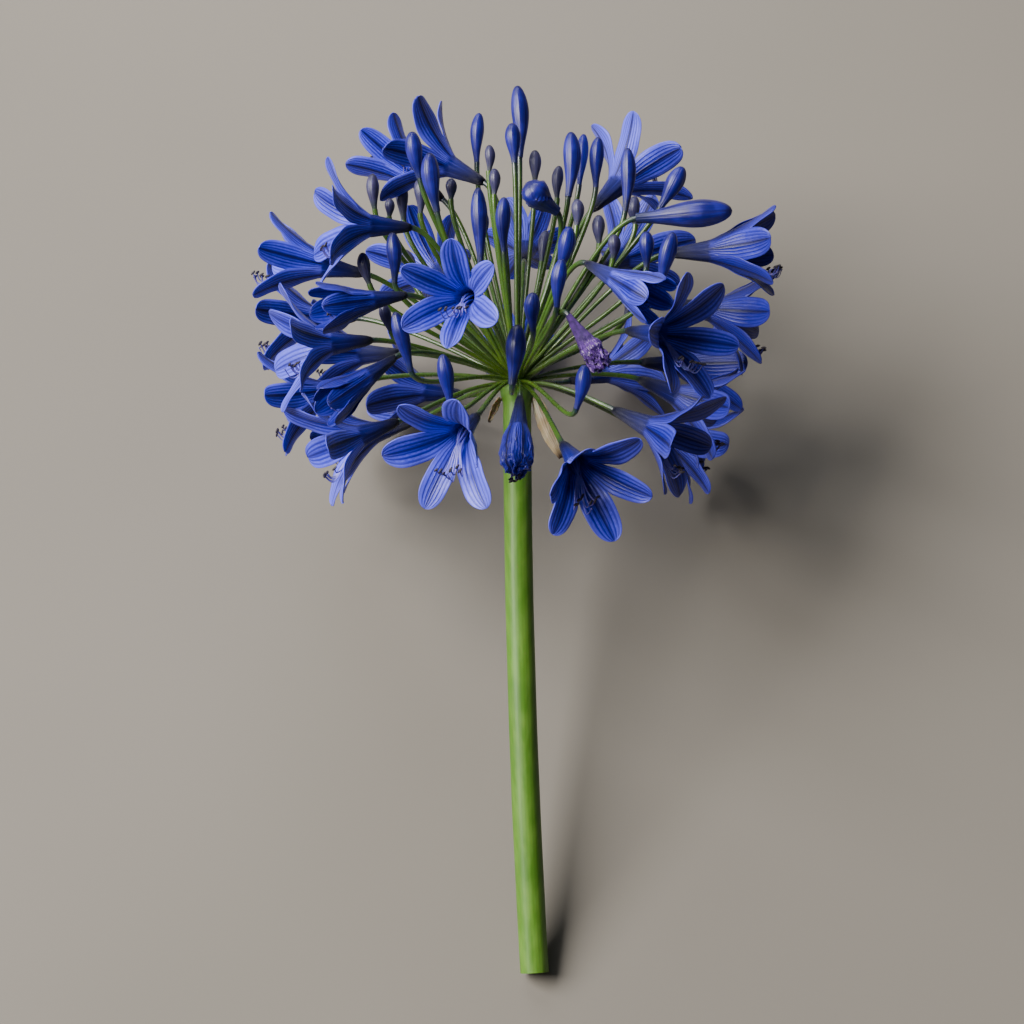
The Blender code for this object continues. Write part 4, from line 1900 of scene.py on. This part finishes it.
class Umbel:
    """The whole flower head: florets, buds, pedicels, scape and spathe scraps."""

    def __init__(self) -> None:
        """Make the finishes that the pieces share."""
        back = PetalFinish(throat=FloretForm().throat)
        lining = replace(
            back,
            name="tepal_lining",
            stripe=(0.002, 0.002, 0.11),
            tube=(0.06, 0.055, 0.58),
            foot=(0.012, 0.010, 0.24),
            streaks=7.0,
            stripe_share=0.75,
            stripe_side=0.17,
            ray_share=0.95,
        )
        self.petal = [back.made(), lining.made()]
        self.withered = WitheredFinish().made()
        self.thread = ThreadFinish().made()
        self.anther = AntherFinish().made()
        self.bud = BudFinish().made()
        self.young = BudFinish(
            name="young_bud_skin",
            body=(0.019, 0.015, 0.062),
            flush=(0.062, 0.058, 0.15),
            foot=(0.036, 0.068, 0.017),
            tip=(0.005, 0.003, 0.013),
            edge=(0.010, 0.008, 0.030),
        ).made()

    def grow_florets(self) -> None:
        """Grow each floret, and the stamens of those whose mouth is open."""
        for floret in FLORETS:
            if floret.stage is Stage.WITHERED:
                floret.perianth([self.withered], "withered_purple")
                continue
            floret.perianth(self.petal, "tepal_blue")
            floret.stamens(self.thread, self.anther, "tepal_blue")

    def grow_buds(self) -> None:
        """Grow each large bud as a piece, and the young buds as one."""
        for number, bud in enumerate(BUDS, start=1):
            blank = Blank()
            bud.grow(blank, 0.5 + 0.5 * wobble(number, BUD_TONES))
            blank.weld()
            blank.settle(f"large_bud_{number:02d}", [self.bud], [f"bud_{number:02d}"])
        blank = Blank()
        CURLED.grow(blank, CURLED_TONE)
        blank.weld()
        blank.settle("curled_floret", [self.bud], ["bloom_curled"])
        blank = Blank()
        for number, bud in enumerate(YOUNG_BUDS):
            bud.grow(blank, 0.5 + 0.5 * wobble(number, YOUNG_BUD_TONES))
        blank.weld()
        blank.settle("young_buds", [self.young], [STEM_NODE])

    def grow_stalks(self) -> None:
        """Grow the pedicels as one piece."""
        stalks = Stalks()
        blank = Blank()
        for floret in FLORETS:
            stalks.grow(blank, floret.root, floret.ahead, stalks.floret_flush)
        for bud in (*BUDS, CURLED):
            stalks.grow(blank, bud.root, bud.along.normalized(), stalks.bud_flush)
        for bud in YOUNG_BUDS:
            stalks.grow(blank, bud.root, bud.along.normalized(), 0.0)
        blank.weld()
        blank.settle("pedicels", [StalkFinish().made()], [STEM_NODE])

    def build(self) -> None:
        """Grow every part of the head."""
        self.grow_florets()
        self.grow_buds()
        self.grow_stalks()
        Scape().build(ScapeFinish().made(), FleshFinish().made(), "stem_green")
        paper = PaperFinish().made()
        for scrap in SCRAPS:
            scrap.build(paper, "dry_spathe")


@dataclass(frozen=True)
class Lamp:
    """A soft square lamp that faces the flower head: its side is in metres, its power in watts."""

    name: str
    place: Point
    power: float
    size: float
    colour: Colour

    def hang(self) -> None:
        """Hang the lamp."""
        lamp = bpy.data.lights.new(self.name, "AREA")
        lamp.energy = self.power
        lamp.size = self.size
        lamp.color = self.colour
        holder = add_object(self.name, lamp)
        holder.matrix_world = LIE.pose(self.place, Vector(self.place))


@dataclass(frozen=True)
class Studio:
    """The floor, the lights and the camera, placed from the plant's frame in millimetres."""

    floor_side: float = 6.0
    eye: Point = (-2.0, -166.75, 1150.0)
    looked_at: Point = (-2.0, -50.0, 0.0)
    frame_width: float = 400.0
    sensor: float = 36.0
    clip_start: float = 0.05
    lamps: tuple[Lamp, ...] = (
        Lamp("key", (-1950.0, 840.0, 1750.0), 206.0, 1.9, (1.0, 0.97, 0.93)),
        Lamp("fill", (900.0, -300.0, 1100.0), 0.5, 1.2, (0.86, 0.92, 1.0)),
        Lamp("rim", (-300.0, 1000.0, 350.0), 6.5, 0.6, (0.95, 0.97, 1.0)),
    )
    sky: Colour = (0.62, 0.64, 0.68)
    sky_strength: float = 0.053

    def floor(self) -> None:
        """Lay the floor."""
        bm = bmesh.new()
        bmesh.ops.create_grid(bm, x_segments=1, y_segments=1, size=0.5 * self.floor_side)
        mesh = bpy.data.meshes.new("studio_floor")
        bm.to_mesh(mesh)
        bm.free()
        mesh.materials.append(FloorFinish().made())
        add_object("studio_floor", mesh)

    def camera(self) -> None:
        """Stand the camera square to the scape, as high over the head as the picture was taken."""
        back = Vector(self.eye) - Vector(self.looked_at)
        lens = bpy.data.cameras.new("camera")
        lens.sensor_width = self.sensor
        lens.lens = self.sensor * back.length / self.frame_width
        lens.clip_start = self.clip_start
        holder = add_object("camera", lens)
        holder.matrix_world = LIE.pose(self.eye, back)
        bpy.context.scene.camera = holder

    def sky_light(self) -> None:
        """Fill the room with an even soft light."""
        world = bpy.data.worlds.new("room")
        world.use_nodes = True
        background = world.node_tree.nodes["Background"]
        background.inputs["Color"].default_value = (*self.sky, 1.0)
        background.inputs["Strength"].default_value = self.sky_strength
        bpy.context.scene.world = world

    def build(self) -> None:
        """Set the whole studio up."""
        self.camera()
        self.floor()
        for lamp in self.lamps:
            lamp.hang()
        self.sky_light()


def main() -> None:
    """Build the studio and the flower head."""
    logging.basicConfig(level=logging.INFO, format="%(name)s %(message)s")
    noise.seed_set(CREASE_SEED)
    Studio().build()
    Umbel().build()


if __name__ == "__main__":
    main()
